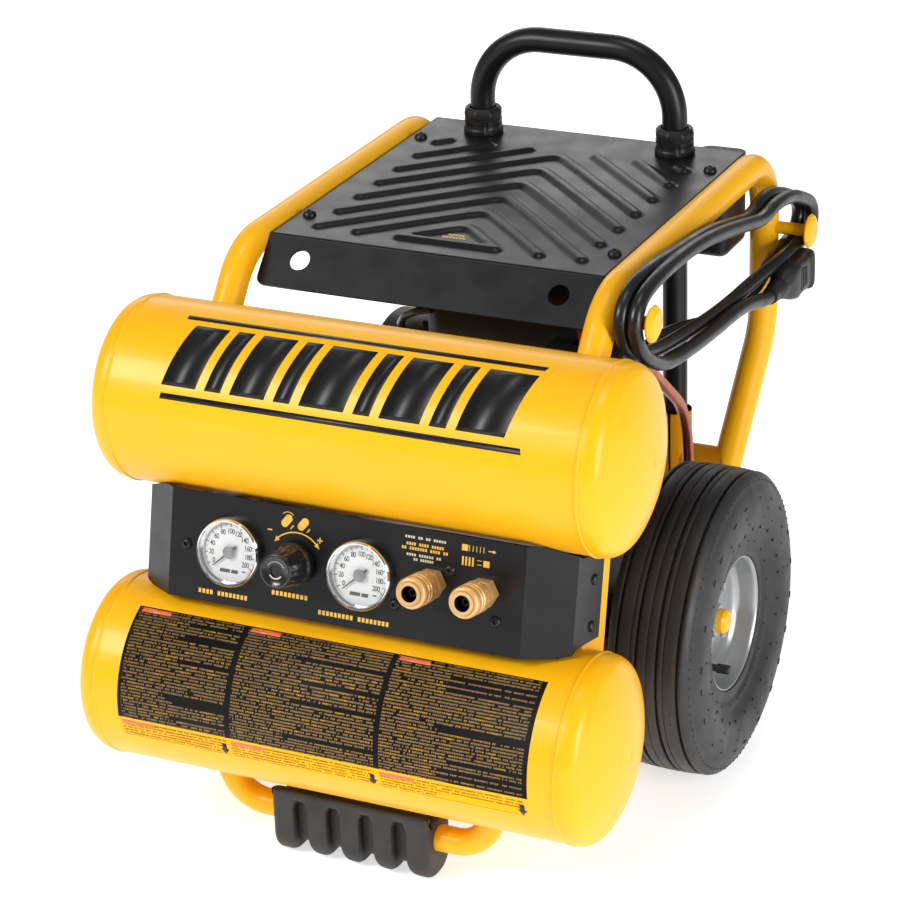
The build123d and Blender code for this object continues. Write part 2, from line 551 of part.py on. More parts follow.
# ---- pressure switch with its on/off lever and the cord's strain relief ----
COVER_X, COVER_Y, COVER_Z, COVER_T = (100.0, 165.0), (-78.0, -25.0), (325.0, 402.0), 2.5
LEVER_Y, LEVER_Z, LEVER_PIN_R = -51.0, 392.0, 2.0
with BuildPart() as pressure_switch:
    block(COVER_X, COVER_Y, COVER_Z)
    fillet(pressure_switch.edges().filter_by(Axis.Z), 5)
    fillet(pressure_switch.faces().sort_by(Axis.Z)[-1].edges(), 3)
    inside = [(low + COVER_T, high - COVER_T) for low, high in (COVER_X, COVER_Y, COVER_Z)]
    block(*inside, mode=Mode.SUBTRACT)
    block((SWITCH_X - 13, SWITCH_X + 13), (LEVER_Y - 5, LEVER_Y + 5), (395, 410), mode=Mode.SUBTRACT)
    for ear_y in (LEVER_Y - 9, LEVER_Y + 9):
        block((SWITCH_X - 6, SWITCH_X + 6), (ear_y - 2, ear_y + 2), (LEVER_Z - 5, COVER_Z[1] - COVER_T))
    port = facing(SWITCH_X, 0, UPPER_Z, ALONG_Y)
    rod(port, 8, tank_back - 6, COVER_Y[0] + 1)
    cope_to_tanks()
    rod(port, SWITCH_PORT_R, tank_back - 20, COVER_Y[0] + 8, mode=Mode.SUBTRACT)
    rod(facing(SWITCH_X, LEVER_Y, LEVER_Z, ALONG_Y), LEVER_PIN_R + RUN_FIT, -12, 12, mode=Mode.SUBTRACT)
save("pressure_switch", pressure_switch)

with BuildPart() as power_lever:
    pivot = facing(SWITCH_X, LEVER_Y, LEVER_Z, ALONG_Y)
    rod(pivot, LEVER_PIN_R, -10, 10)
    rod(pivot, 6, -3.5, 3.5)
    with BuildSketch(Plane(origin=(SWITCH_X, LEVER_Y - 3.5, LEVER_Z), x_dir=ALONG_X, z_dir=ALONG_Y)):
        with BuildLine():
            Polyline((-4, 0), (-9, -26), (-3, -27), (4, 0), close=True)
        make_face()
    extrude(amount=7)
save("power_lever", power_lever)

GLAND_X, GLAND_Z, GLAND_LENGTH = 153.0, 375.0, 30.0
gland_tip = COVER_Y[1] + GLAND_LENGTH
with BuildPart() as strain_relief:
    spin(facing(GLAND_X, COVER_Y[1], GLAND_Z, ALONG_Y),
         [(0, 0), (10, 0), (10, 4), (8.5, 5), (7.2, GLAND_LENGTH), (0, GLAND_LENGTH)])
save("strain_relief", strain_relief)

# ---- pump: crankcase, finned cylinder, head and air filter ----
CASE_X, CASE_Y, CAVITY_R = (36.0, 98.0), (32.0, 128.0), 40.0
CYLINDER_Z = 328.0
shaft = facing(0, SHAFT_Y, SHAFT_Z, ALONG_X)
barrel = facing(CYLINDER_X, SHAFT_Y, 0, ALONG_Z)
with BuildPart() as crankcase:
    block(CASE_X, CASE_Y, (FOOT_TOP, CYLINDER_Z))
    fillet(crankcase.edges().filter_by(Axis.X), 8)
    rod(shaft, CAVITY_R, CASE_X[0] + 6, CASE_X[1] - 6, mode=Mode.SUBTRACT)
    block((CASE_X[0] + 8, CASE_X[1] - 8), (48, 112), (FOOT_TOP + 8, SHAFT_Z), mode=Mode.SUBTRACT)
    rod(shaft, SHAFT_R + RUN_FIT, CASE_X[0] - 1, CASE_X[0] + 8, mode=Mode.SUBTRACT)
    rod(barrel, BORE_R, SHAFT_Z + 10, CYLINDER_Z + 1, mode=Mode.SUBTRACT)
    swing = (SHAFT_Y - 36, SHAFT_Y + 36)
    block((CYLINDER_X - 7, CYLINDER_X + 7), swing, (SHAFT_Z, CYLINDER_Z - 8), mode=Mode.SUBTRACT)
save("crankcase", crankcase)

FIN_R, FIN_T, FIN_PITCH, FIN_COUNT, FIN_START = 44.0, 3.0, 7.5, 6, 26.0
with BuildPart() as cylinder:
    rod(barrel, 34, CYLINDER_Z, HEAD_Z)
    for index in range(FIN_COUNT):
        start = CYLINDER_Z + FIN_START + index * FIN_PITCH
        rod(barrel, FIN_R, start, start + FIN_T)
    rod(barrel, 40, HEAD_Z - 6, HEAD_Z)
    rod(barrel, BORE_R, CYLINDER_Z - 1, HEAD_Z + 1, mode=Mode.SUBTRACT)
save("cylinder", cylinder)

HEAD_HALF, HEAD_T, HEAD_FIN_H, PORT_Y = 46.0, 14.0, 22.0, 62.0
with BuildPart() as cylinder_head:
    head_x = (CYLINDER_X - HEAD_HALF, CYLINDER_X + HEAD_HALF)
    head_y = (SHAFT_Y - HEAD_HALF, SHAFT_Y + HEAD_HALF)
    block(head_x, head_y, (HEAD_Z, HEAD_Z + HEAD_T))
    fillet(cylinder_head.edges().filter_by(Axis.Z), 8)
    for index in range(8):
        x = CYLINDER_X - HEAD_HALF + 8 + index * 10.5
        block((x, x + 3), (head_y[0] + 2, head_y[1] - 2), (HEAD_Z + HEAD_T, HEAD_Z + HEAD_T + HEAD_FIN_H))
save("cylinder_head", cylinder_head)

with BuildPart() as air_filter:
    rim_y = SHAFT_Y + HEAD_HALF
    body = [(0, 0), (6, 0), (6, 6), (20, 8), (20, 34), (18, 38), (0, 38)]
    spin(facing(CYLINDER_X, rim_y, HEAD_Z + HEAD_T - 7, ALONG_Y), body)
    for index in range(4):
        y = rim_y + 12 + index * 5
        groove = [(18.5, 0), (21, 0), (21, 2), (18.5, 2)]
        spin(facing(CYLINDER_X, y, HEAD_Z + HEAD_T - 7, ALONG_Y), groove, mode=Mode.SUBTRACT)
save("air_filter", air_filter)

# ---- moving parts of the pump ----
PIN_R, ROD_FIT, WRIST_R = 7.0, 0.5, 5.0
low_pin_z = SHAFT_Z - CRANK_THROW
WRIST_Z, PISTON_BOTTOM, PISTON_TOP = 350.0, 340.0, 368.0
ROD_HALF_T = 5.0
ROTOR_X, STATOR_BORE = (-60.0, 20.0), 38.0
with BuildPart() as crankshaft:
    rod(shaft, SHAFT_R, -96, 46)
    rod(shaft, STATOR_BORE - 0.6, *ROTOR_X)
    rod(shaft, 28, 44, 52)
    rod(facing(0, SHAFT_Y, low_pin_z, ALONG_X), PIN_R, 52, CYLINDER_X - ROD_HALF_T - 1)
save("crankshaft", crankshaft)

with BuildPart() as piston:
    rod(barrel, BORE_R - 0.06, PISTON_BOTTOM, PISTON_TOP)
    rod(barrel, 24, PISTON_BOTTOM - 1, PISTON_TOP - 5, mode=Mode.SUBTRACT)
    wrist = facing(CYLINDER_X, SHAFT_Y, WRIST_Z, ALONG_X)
    rod(wrist, WRIST_R, -25, 25)
    for start, end in ((-24.5, -6), (6, 24.5)):
        rod(wrist, 8, start, end)
    for z in (356.0, 361.0):
        ring_groove = [(BORE_R - 2, z), (BORE_R + 1, z), (BORE_R + 1, z + 1.5), (BORE_R - 2, z + 1.5)]
        spin(barrel, ring_groove, mode=Mode.SUBTRACT)
save("piston", piston)

with BuildPart() as connecting_rod:
    small_end = facing(CYLINDER_X, SHAFT_Y, WRIST_Z, ALONG_X)
    big_end = facing(CYLINDER_X, SHAFT_Y, low_pin_z, ALONG_X)
    rod(small_end, 9, -ROD_HALF_T, ROD_HALF_T)
    rod(big_end, 13, -ROD_HALF_T, ROD_HALF_T)
    block((CYLINDER_X - 3, CYLINDER_X + 3), (SHAFT_Y - 5, SHAFT_Y + 5), (low_pin_z + 8, WRIST_Z - 6))
    rod(small_end, WRIST_R + RUN_FIT, -9, 9, mode=Mode.SUBTRACT)
    rod(big_end, PIN_R + ROD_FIT, -9, 9, mode=Mode.SUBTRACT)
save("connecting_rod", connecting_rod)

# ---- motor: shell with feet, stator, fan and shroud ----
SHELL_T, SHROUD_T, SHROUD_LEFT = 4.0, 2.5, -104.0
with BuildPart() as motor_shell:
    block((-70, 20), CASE_Y, (FOOT_TOP, FOOT_TOP + 26))
    rod(shaft, MOTOR_R, MOTOR_LEFT, MOTOR_RIGHT)
    rod(shaft, 30, MOTOR_RIGHT, CASE_X[0])
    with BuildSketch(shaft.offset(MOTOR_LEFT + 8)):
        with PolarLocations(MOTOR_R + 0.4, 36):
            Rectangle(3, 2.2)
    extrude(amount=MOTOR_RIGHT - MOTOR_LEFT - 16)
    rod(shaft, MOTOR_R - SHELL_T, MOTOR_LEFT + SHELL_T, MOTOR_RIGHT - SHELL_T, mode=Mode.SUBTRACT)
    rod(shaft, SHAFT_R + RUN_FIT, MOTOR_LEFT - 1, CASE_X[0] + 1, mode=Mode.SUBTRACT)
save("motor_shell", motor_shell)

with BuildPart() as stator:
    rod(shaft, MOTOR_R - SHELL_T, *ROTOR_X)
    rod(shaft, STATOR_BORE, ROTOR_X[0] - 1, ROTOR_X[1] + 1, mode=Mode.SUBTRACT)
save("stator", stator)

with BuildPart() as cooling_fan:
    rod(shaft, 16, -98, -84)
    for index in range(9):
        with BuildSketch(shaft.offset(-97)):
            with Locations(Rotation(0, 0, index * 40)):
                with Locations((38, 0)):
                    Rectangle(48, 2.4, rotation=10)
        extrude(amount=12)
    rod(shaft, SHAFT_R, -99, -83, mode=Mode.SUBTRACT)
save("cooling_fan", cooling_fan)

with BuildPart() as fan_shroud:
    rod(shaft, MOTOR_R, SHROUD_LEFT, MOTOR_LEFT)
    rod(shaft, MOTOR_R - SHROUD_T, SHROUD_LEFT + SHROUD_T, MOTOR_LEFT + 1, mode=Mode.SUBTRACT)
    for radius, count in ((24, 8), (44, 14), (60, 20)):
        with BuildSketch(shaft.offset(SHROUD_LEFT - 1)):
            with PolarLocations(radius, count):
                SlotOverall(14, 5)
        extrude(amount=5, mode=Mode.SUBTRACT)
save("fan_shroud", fan_shroud)

# ---- run capacitor's housing, hung under the rear corner of the plate ----
with BuildPart() as capacitor_box:
    block((104, 145), (228, 284), (376, PLATE_TOP - PLATE_T))
    fillet(capacitor_box.edges().filter_by(Axis.Z), 10)
    fillet(capacitor_box.faces().sort_by(Axis.Z)[0].edges(), 9)
save("capacitor_box", capacitor_box)

# ---- copper discharge pipe from the head to the check valve on the lower tank ----
PIPE_R, PIPE_X, HEAD_PORT_Z = 4.75, 138.0, HEAD_Z + 7
head_side = CYLINDER_X + HEAD_HALF
pipe_route = [
    (head_side + 12, PORT_Y, HEAD_PORT_Z),
    (PIPE_X, PORT_Y, HEAD_PORT_Z),
    (PIPE_X, 22, 372),
    (PIPE_X, 150, 266),
    (PIPE_X, 157, CHECK_Z),
    (CHECK_X, 120, CHECK_Z),
    (CHECK_X, -115, CHECK_Z),
]
with BuildPart() as discharge_pipe:
    bent_tube(pipe_route, [11, 25, 40, 18, 25], PIPE_R)
    spin(facing(head_side, PORT_Y, HEAD_PORT_Z, ALONG_X), [(0, 0), (6.5, 0), (9, 3), (9, 12), (0, 12)])
save("discharge_pipe", discharge_pipe)

with BuildPart() as check_valve:
    line = facing(CHECK_X, 0, CHECK_Z, ALONG_Y)
    rod(line, 7, -170, -150)
    with BuildSketch(line.offset(-152)):
        RegularPolygon(11, 6)
    extrude(amount=18)
    rod(line, 8, -134, -115)
    cope_to_tanks()
save("check_valve", check_valve)

# ---- front foot: bent tube under the lower tank and the fingered rubber pad round it ----
FOOT_Y, FOOT_TUBE_Z, FOOT_TUBE_R = -224.0, 34.0, 11.0
PAD_HALF, PAD_DEPTH, PAD_TOP = 70.0, 22.0, 52.0
FINGER_PITCH, FINGER_GAP, GAP_TOP, SLEEVE_R = 29.3, 12.0, 40.0, 14.0
with BuildPart() as foot_tube:
    corners = [(-128, 86), (-106, FOOT_TUBE_Z), (106, FOOT_TUBE_Z), (128, 86)]
    foot_route = [(x, FOOT_Y, z) for x, z in corners]
    bent_tube(foot_route, [32, 32], FOOT_TUBE_R, TUBE_WALL)
    cope_to_tanks()
save("foot_tube", foot_tube)

with BuildPart() as foot_pad:
    block((-PAD_HALF, PAD_HALF), (FOOT_Y - PAD_DEPTH, FOOT_Y + PAD_DEPTH), (0, PAD_TOP))
    long_edges = foot_pad.edges().filter_by(Axis.X).sort_by(Axis.Z)
    fillet(long_edges[:2], 19)
    fillet(foot_pad.edges().filter_by(Axis.X).sort_by(Axis.Z)[-2:], 8)
    for index in range(4):
        x = (index - 1.5) * FINGER_PITCH
        gap = (x - FINGER_GAP / 2, x + FINGER_GAP / 2)
        block(gap, (FOOT_Y - 30, FOOT_Y + 30), (-1, GAP_TOP), mode=Mode.SUBTRACT)
    rod(facing(0, FOOT_Y, FOOT_TUBE_Z, ALONG_X), SLEEVE_R, -PAD_HALF, PAD_HALF)
    rod(facing(0, FOOT_Y, FOOT_TUBE_Z, ALONG_X), FOOT_TUBE_R, -80, 80, mode=Mode.SUBTRACT)
save("foot_pad", foot_pad)

# ---- drain valve under the lower tank ----
drain = facing(DRAIN_X, DRAIN_Y, 0, ALONG_Z)
DRAIN_BALL_Z = 54.0
drain_axis = facing(DRAIN_X, DRAIN_Y, DRAIN_BALL_Z, ALONG_Y)
with BuildPart() as drain_valve:
    rod(drain, 6, 44, 80)
    cope_to_tanks()
    rod(drain_axis, 8, -8, 8)
    rod(drain, 3, 40, 90, mode=Mode.SUBTRACT)
    rod(drain_axis, 2 + RUN_FIT, 3.5, 9, mode=Mode.SUBTRACT)
save("drain_valve", drain_valve)

with BuildPart() as drain_handle:
    rod(drain_axis, 2, 4, 11)
    block((DRAIN_X - 4, DRAIN_X + 30), (DRAIN_Y + 8.6, DRAIN_Y + 11), (DRAIN_BALL_Z - 4, DRAIN_BALL_Z + 4))
save("drain_handle", drain_handle)

# ---- wheels ----
FLANGE_R, BEAD_R, RIM_HALF, FLANGE_T = 62.5, 53.0, 31.5, 3.0
HUB_R, HUB_HALF_IN, HUB_HALF_OUT = 14.0, 37.5, 16.0
CAP_R = 10.5
GROOVES, GROOVE_HALF, GROOVE_DEEP = (-24.0, -8.0, 8.0, 24.0), 1.6, 3.5


def wheel_plane(side):
    """Plane at the middle of a wheel, facing outwards."""
    return facing(side * WHEEL_X, AXLE_Y, AXLE_Z, ALONG_X * side)


def make_tyre(side):
    """Hollow tyre whose beads sit between the rim's flanges."""
    base = wheel_plane(side)
    with BuildPart() as tyre:
        with BuildSketch(Plane(origin=base.origin, x_dir=base.x_dir, z_dir=base.y_dir * -1)):
            bead = RIM_HALF - FLANGE_T
            half = WHEEL_WIDTH / 2
            with BuildLine():
                Line((BEAD_R, bead), (FLANGE_R + 1, bead))
                ThreePointArc((FLANGE_R + 1, bead), (94, half), (121, half - 6))
                ThreePointArc((121, half - 6), (127, half - 12), (WHEEL_R - 1, half - 18))
                ThreePointArc((WHEEL_R - 1, half - 18), (WHEEL_R, 0), (WHEEL_R - 1, 18 - half))
                ThreePointArc((WHEEL_R - 1, 18 - half), (127, 12 - half), (121, 6 - half))
                ThreePointArc((121, 6 - half), (94, -half), (FLANGE_R + 1, -bead))
                Line((FLANGE_R + 1, -bead), (BEAD_R, -bead))
                Line((BEAD_R, -bead), (BEAD_R, 10 - bead))
                ThreePointArc((BEAD_R, 10 - bead), (93, 8 - half), (118, 18 - half))
                Line((118, 18 - half), (118, half - 18))
                ThreePointArc((118, half - 18), (93, half - 8), (BEAD_R, bead - 10))
                Line((BEAD_R, bead - 10), (BEAD_R, bead))
            make_face()
            with Locations(*[(WHEEL_R, offset) for offset in GROOVES]):
                Rectangle(2 * GROOVE_DEEP, 2 * GROOVE_HALF, mode=Mode.SUBTRACT)
        revolve(axis=Axis(base.origin, base.z_dir))
    return tyre


def make_rim(side):
    """Pressed rim: barrel with two flanges, dished disc and hub tube."""
    base = wheel_plane(side)
    with BuildPart() as rim:
        inner = RIM_HALF - FLANGE_T
        barrel_in = BEAD_R - 2.5
        outer_side = [(BEAD_R, inner), (FLANGE_R, inner), (FLANGE_R, RIM_HALF), (barrel_in, RIM_HALF)]
        inner_side = [(barrel_in, -RIM_HALF), (FLANGE_R, -RIM_HALF), (FLANGE_R, -inner), (BEAD_R, -inner)]
        spin(base, outer_side + inner_side)
        spin(base, [(HUB_R - 3, 11), (barrel_in + 0.5, 5), (barrel_in + 0.5, 8), (HUB_R - 3, 14)])
        hub = [(AXLE_R + RUN_FIT, -HUB_HALF_IN), (HUB_R, -HUB_HALF_IN), (HUB_R, HUB_HALF_OUT)]
        spin(base, hub + [(AXLE_R + RUN_FIT, HUB_HALF_OUT)])
        spin(base, [(0, -40), (AXLE_R + RUN_FIT, -40), (AXLE_R + RUN_FIT, 45), (0, 45)], mode=Mode.SUBTRACT)
    return rim


def make_hub_cap(side):
    """Pressed cap over the end of the hub."""
    with BuildPart() as cap:
        dome = [(CAP_R - 1.5, HUB_HALF_OUT), (CAP_R, HUB_HALF_OUT), (CAP_R, 21), (CAP_R - 2, 23.5), (0, 25)]
        spin(wheel_plane(side), dome + [(0, 20), (CAP_R - 1.5, 20)])
    return cap


for name, side in (("left", -1), ("right", 1)):
    save(f"{name}_tyre", make_tyre(side))
    save(f"{name}_rim", make_rim(side))
    save(f"{name}_hub_cap", make_hub_cap(side))

# ---- pull-out handle and its two twist collars ----
with BuildPart() as handle:
    handle_route = [(-HANDLE_X, HANDLE_Y, HANDLE_FOOT), (-HANDLE_X, HANDLE_Y, HANDLE_TOP)]
    handle_route += [(-x, y, z) for x, y, z in reversed(handle_route)]
    bent_tube(handle_route, [HANDLE_BEND, HANDLE_BEND], HANDLE_R, TUBE_WALL)
save("handle", handle)

for name, side in (("left_collar", -1), ("right_collar", 1)):
    with BuildPart() as collar:
        base = facing(side * HANDLE_X, HANDLE_Y, PLATE_TOP, ALONG_Z)
        ring = [(HANDLE_R + SLIDE_FIT, 0.1), (COLLAR_R, 0.1), (COLLAR_R, 17), (15, COLLAR_H)]
        spin(base, ring + [(HANDLE_R + SLIDE_FIT, COLLAR_H)])
        with BuildSketch(base):
            with PolarLocations(COLLAR_R + 0.6, 12):
                Circle(1.8)
        extrude(amount=15, mode=Mode.SUBTRACT)
    save(name, collar)

# ---- power cord: lead, wound hank on the two posts, and plug ----
lead_route = [
    (GLAND_X, gland_tip, GLAND_Z),
    (GLAND_X, 42, GLAND_Z),
    (160, 82, 370),
    (172, 118, 365),
    (181, 152, 366),
]
lead_radii = bend_radii(lead_route)
with BuildPart() as cord_lead:
    lead_length = bent_tube(lead_route, lead_radii, CORD_R)
save("cord_lead", cord_lead)
print("cord lead radii", [round(radius, 1) for radius in lead_radii], "length", round(lead_length, 1))

COIL_X = (174.0, 198.4)
coil_outer = [
    (-109, 452), (-84, 474), (-10, 474), (140, 452), (262, 437), (320, 402), (304, 374),
    (240, 361.5), (150, 352), (20, 369), (-50, 385), (-96, 414), (-109, 434),
]
coil_inner = [
    (-96, 449), (-76, 461), (-12, 460.5), (139, 438.5), (258, 424), (304, 397), (296, 385),
    (228, 377), (142, 383), (37, 396), (-42, 402), (-84, 424), (-96, 437),
]
with BuildPart() as cord_coil:
    with BuildSketch(Plane.YZ.offset(COIL_X[0])):
        with BuildLine():
            FilletPolyline(*coil_outer, radius=12, close=True)
        make_face()
        with BuildLine():
            FilletPolyline(*coil_inner, radius=4, close=True)
        make_face(mode=Mode.SUBTRACT)
    extrude(amount=COIL_X[1] - COIL_X[0])
save("cord_coil", cord_coil)

PLUG_X, PLUG_Z = (183.0, 209.0), (334.0, 368.0)
plug_middle = sum(PLUG_X) / 2
with BuildPart() as plug:
    block(PLUG_X, (240, 282), PLUG_Z)
    fillet(plug.edges().filter_by(Axis.Y), 6)
    block((PLUG_X[0] - 1.5, PLUG_X[1] + 1.5), (282, 286), (PLUG_Z[0] - 1.5, PLUG_Z[1] + 1.5))
    spin(facing(plug_middle, 208, 351, ALONG_Y), [(0, 0), (7, 0), (8, 30), (10, 34), (0, 34)])
    for x in (-6.4, 6.4):
        block((plug_middle + x - 0.8, plug_middle + x + 0.8), (285, 304), (352, 358.4))
    rod(facing(plug_middle, 285, 344, ALONG_Y), 2.4, 0, 21)
save("plug", plug)
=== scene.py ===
"""Looks for the wheeled twin-tank air compressor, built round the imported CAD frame."""

import json
import math
import random
from math import cos, pi, radians, sin

import bmesh
import bpy
from mathutils import Matrix, Vector


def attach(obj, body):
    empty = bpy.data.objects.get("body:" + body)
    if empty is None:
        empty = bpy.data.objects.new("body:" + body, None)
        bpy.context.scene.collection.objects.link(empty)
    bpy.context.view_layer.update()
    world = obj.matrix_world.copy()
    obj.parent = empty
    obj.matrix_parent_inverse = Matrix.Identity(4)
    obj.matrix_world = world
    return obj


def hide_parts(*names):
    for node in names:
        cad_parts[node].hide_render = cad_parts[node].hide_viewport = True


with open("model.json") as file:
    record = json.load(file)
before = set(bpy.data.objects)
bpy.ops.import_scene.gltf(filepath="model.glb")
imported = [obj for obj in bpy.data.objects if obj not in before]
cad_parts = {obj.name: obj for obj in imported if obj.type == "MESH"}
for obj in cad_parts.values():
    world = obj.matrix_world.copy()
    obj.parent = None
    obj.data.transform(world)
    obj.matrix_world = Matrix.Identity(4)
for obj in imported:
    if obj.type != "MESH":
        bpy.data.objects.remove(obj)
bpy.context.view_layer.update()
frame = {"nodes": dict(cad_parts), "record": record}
NODES = frame["nodes"]
MM = 0.001
SIDES = (("left", -1), ("right", 1))
random.seed(7)


# ---------------------------------------------------------------- camera
def aim(obj, target):
    """Turn an object's -Z towards a point, with its Y up."""
    obj.rotation_mode = "QUATERNION"
    obj.rotation_quaternion = (Vector(target) - obj.location).to_track_quat("-Z", "Y")


camera = bpy.data.objects.new("camera", bpy.data.cameras.new("camera"))
bpy.context.scene.collection.objects.link(camera)
bpy.context.scene.camera = camera
camera.data.lens = 126.18
camera.data.sensor_width = 36.0
camera.data.clip_start, camera.data.clip_end = 0.05, 50.0
right = Vector((0.9074, 0.4192, -0.0306)).normalized()
forward = Vector((-0.3948, 0.8249, -0.4045)).normalized()
up = right.cross(forward)
camera.matrix_world = Matrix.Translation((1.0282, -2.1828, 1.3365)) @ Matrix(
    (right, up, -forward)).transposed().to_4x4()

# ---------------------------------------------------------------- places repeated from the CAD
TANK_R = 75.5
UPPER, LOWER = (-166.6, 362.0), (-217.8, 138.7)
LEAN = math.atan2(UPPER[0] - LOWER[0], UPPER[1] - LOWER[1])
UP_LEAN = Vector((0, sin(LEAN), cos(LEAN)))
OUTWARD = Vector((0, -cos(LEAN), sin(LEAN)))
BETWEEN = Vector((0, (UPPER[0] + LOWER[0]) / 2, (UPPER[1] + LOWER[1]) / 2))
PANEL_OUT = 44.0
GAUGE_X, GAUGE_S, KNOB_X = (-98.0, 16.5), 3.0, -41.0
COUPLER_X, COUPLER_S = (77.0, 121.0), 6.5
PLATE_TOP, PLATE_T, PLATE_X, PLATE_Y = 461.7, 2.5, 147.1, (-54.0, 270.0)
WHEEL_X, AXLE_Y, AXLE_Z = 194.5, 37.6, 130.0
HANDLE_X, HANDLE_Y = 90.6, 246.4


def frame_at(origin, z_dir, x_dir):
    """Frame in millimetres, from its origin, its Z and roughly its X."""
    z = Vector(z_dir).normalized()
    x = (Vector(x_dir) - z * z.dot(Vector(x_dir))).normalized()
    return Matrix.Translation(origin) @ Matrix((x, z.cross(x), z)).transposed().to_4x4()


def panel(x, s):
    """Frame on the console face: X across it, Y up it, Z towards the user."""
    place = BETWEEN + Vector((x, 0, 0)) + UP_LEAN * s + OUTWARD * PANEL_OUT
    return frame_at(place, OUTWARD, (1, 0, 0))


def upright(x, y, z):
    """Frame with its Z up."""
    return frame_at((x, y, z), (0, 0, 1), (1, 0, 0))


# ---------------------------------------------------------------- power cord
CORD_D = 12.0
CORD_ROUTE = [
    (153, 5, 375), (153, 42, 375), (160, 82, 370), (172, 118, 364), (180, 152, 361), (180, 198, 362),
    (180, 236, 373), (180, 268, 378), (180, 296, 378), (180, 317, 388), (180, 315, 406), (180, 294, 418),
    (180, 262, 431), (180, 224, 441), (180, 190, 432), (180, 141, 443), (180, 85, 455), (180, 20, 461),
    (180, -35, 468), (180, -80, 467), (180, -103, 452), (180, -98, 428), (180, -76, 410), (180, -38, 396),
    (180, 35, 385), (180, 95, 377), (180, 150, 373), (183, 196, 375), (189, 232, 378), (192.3, 268, 380),
    (192.3, 297, 380), (192.3, 318, 388), (192.3, 315, 406), (192.3, 294, 417), (192.3, 262, 430),
    (192.3, 222, 437), (192.3, 186, 433), (192.3, 140, 444), (192.3, 90, 455), (192.3, 38, 464),
    (192.3, -20, 468), (192.3, -62, 467), (192.3, -92, 462), (192.3, -104, 446), (192.3, -97, 426),
    (192.3, -76, 406), (192.3, -38, 388), (192.3, 18, 381), (192.3, 80, 376), (192.3, 128, 374),
    (193.5, 163, 368), (196, 190, 361), (196, 203, 361),
]
route = bpy.data.curves.new("power_cord", "CURVE")
route.dimensions = "3D"
route.resolution_u = 10
route.bevel_depth = CORD_D / 2 * MM
route.bevel_resolution = 6
route.use_fill_caps = True
line = route.splines.new("NURBS")
line.points.add(len(CORD_ROUTE) - 1)
for point, place in zip(line.points, CORD_ROUTE):
    point.co = (*[value * MM for value in place], 1.0)
line.order_u = 3
line.use_endpoint_u = True


def curve_mesh(curve, name):
    """Mesh of a curve."""
    holder = bpy.data.objects.new("holder", curve)
    bpy.context.scene.collection.objects.link(holder)
    bpy.context.view_layer.update()
    made = bpy.data.meshes.new_from_object(holder.evaluated_get(bpy.context.evaluated_depsgraph_get()))
    made.name = name
    bpy.data.objects.remove(holder)
    return made


cord_mesh = curve_mesh(route, "power_cord")
route.bevel_depth = 0
cord_path = [vertex.co.copy() for vertex in curve_mesh(route, "cord_path").vertices]
cord_mesh.shade_smooth()
cord = bpy.data.objects.new("power_cord", cord_mesh)
bpy.context.scene.collection.objects.link(cord)
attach(cord, "frame")
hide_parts("cord_lead", "cord_coil")


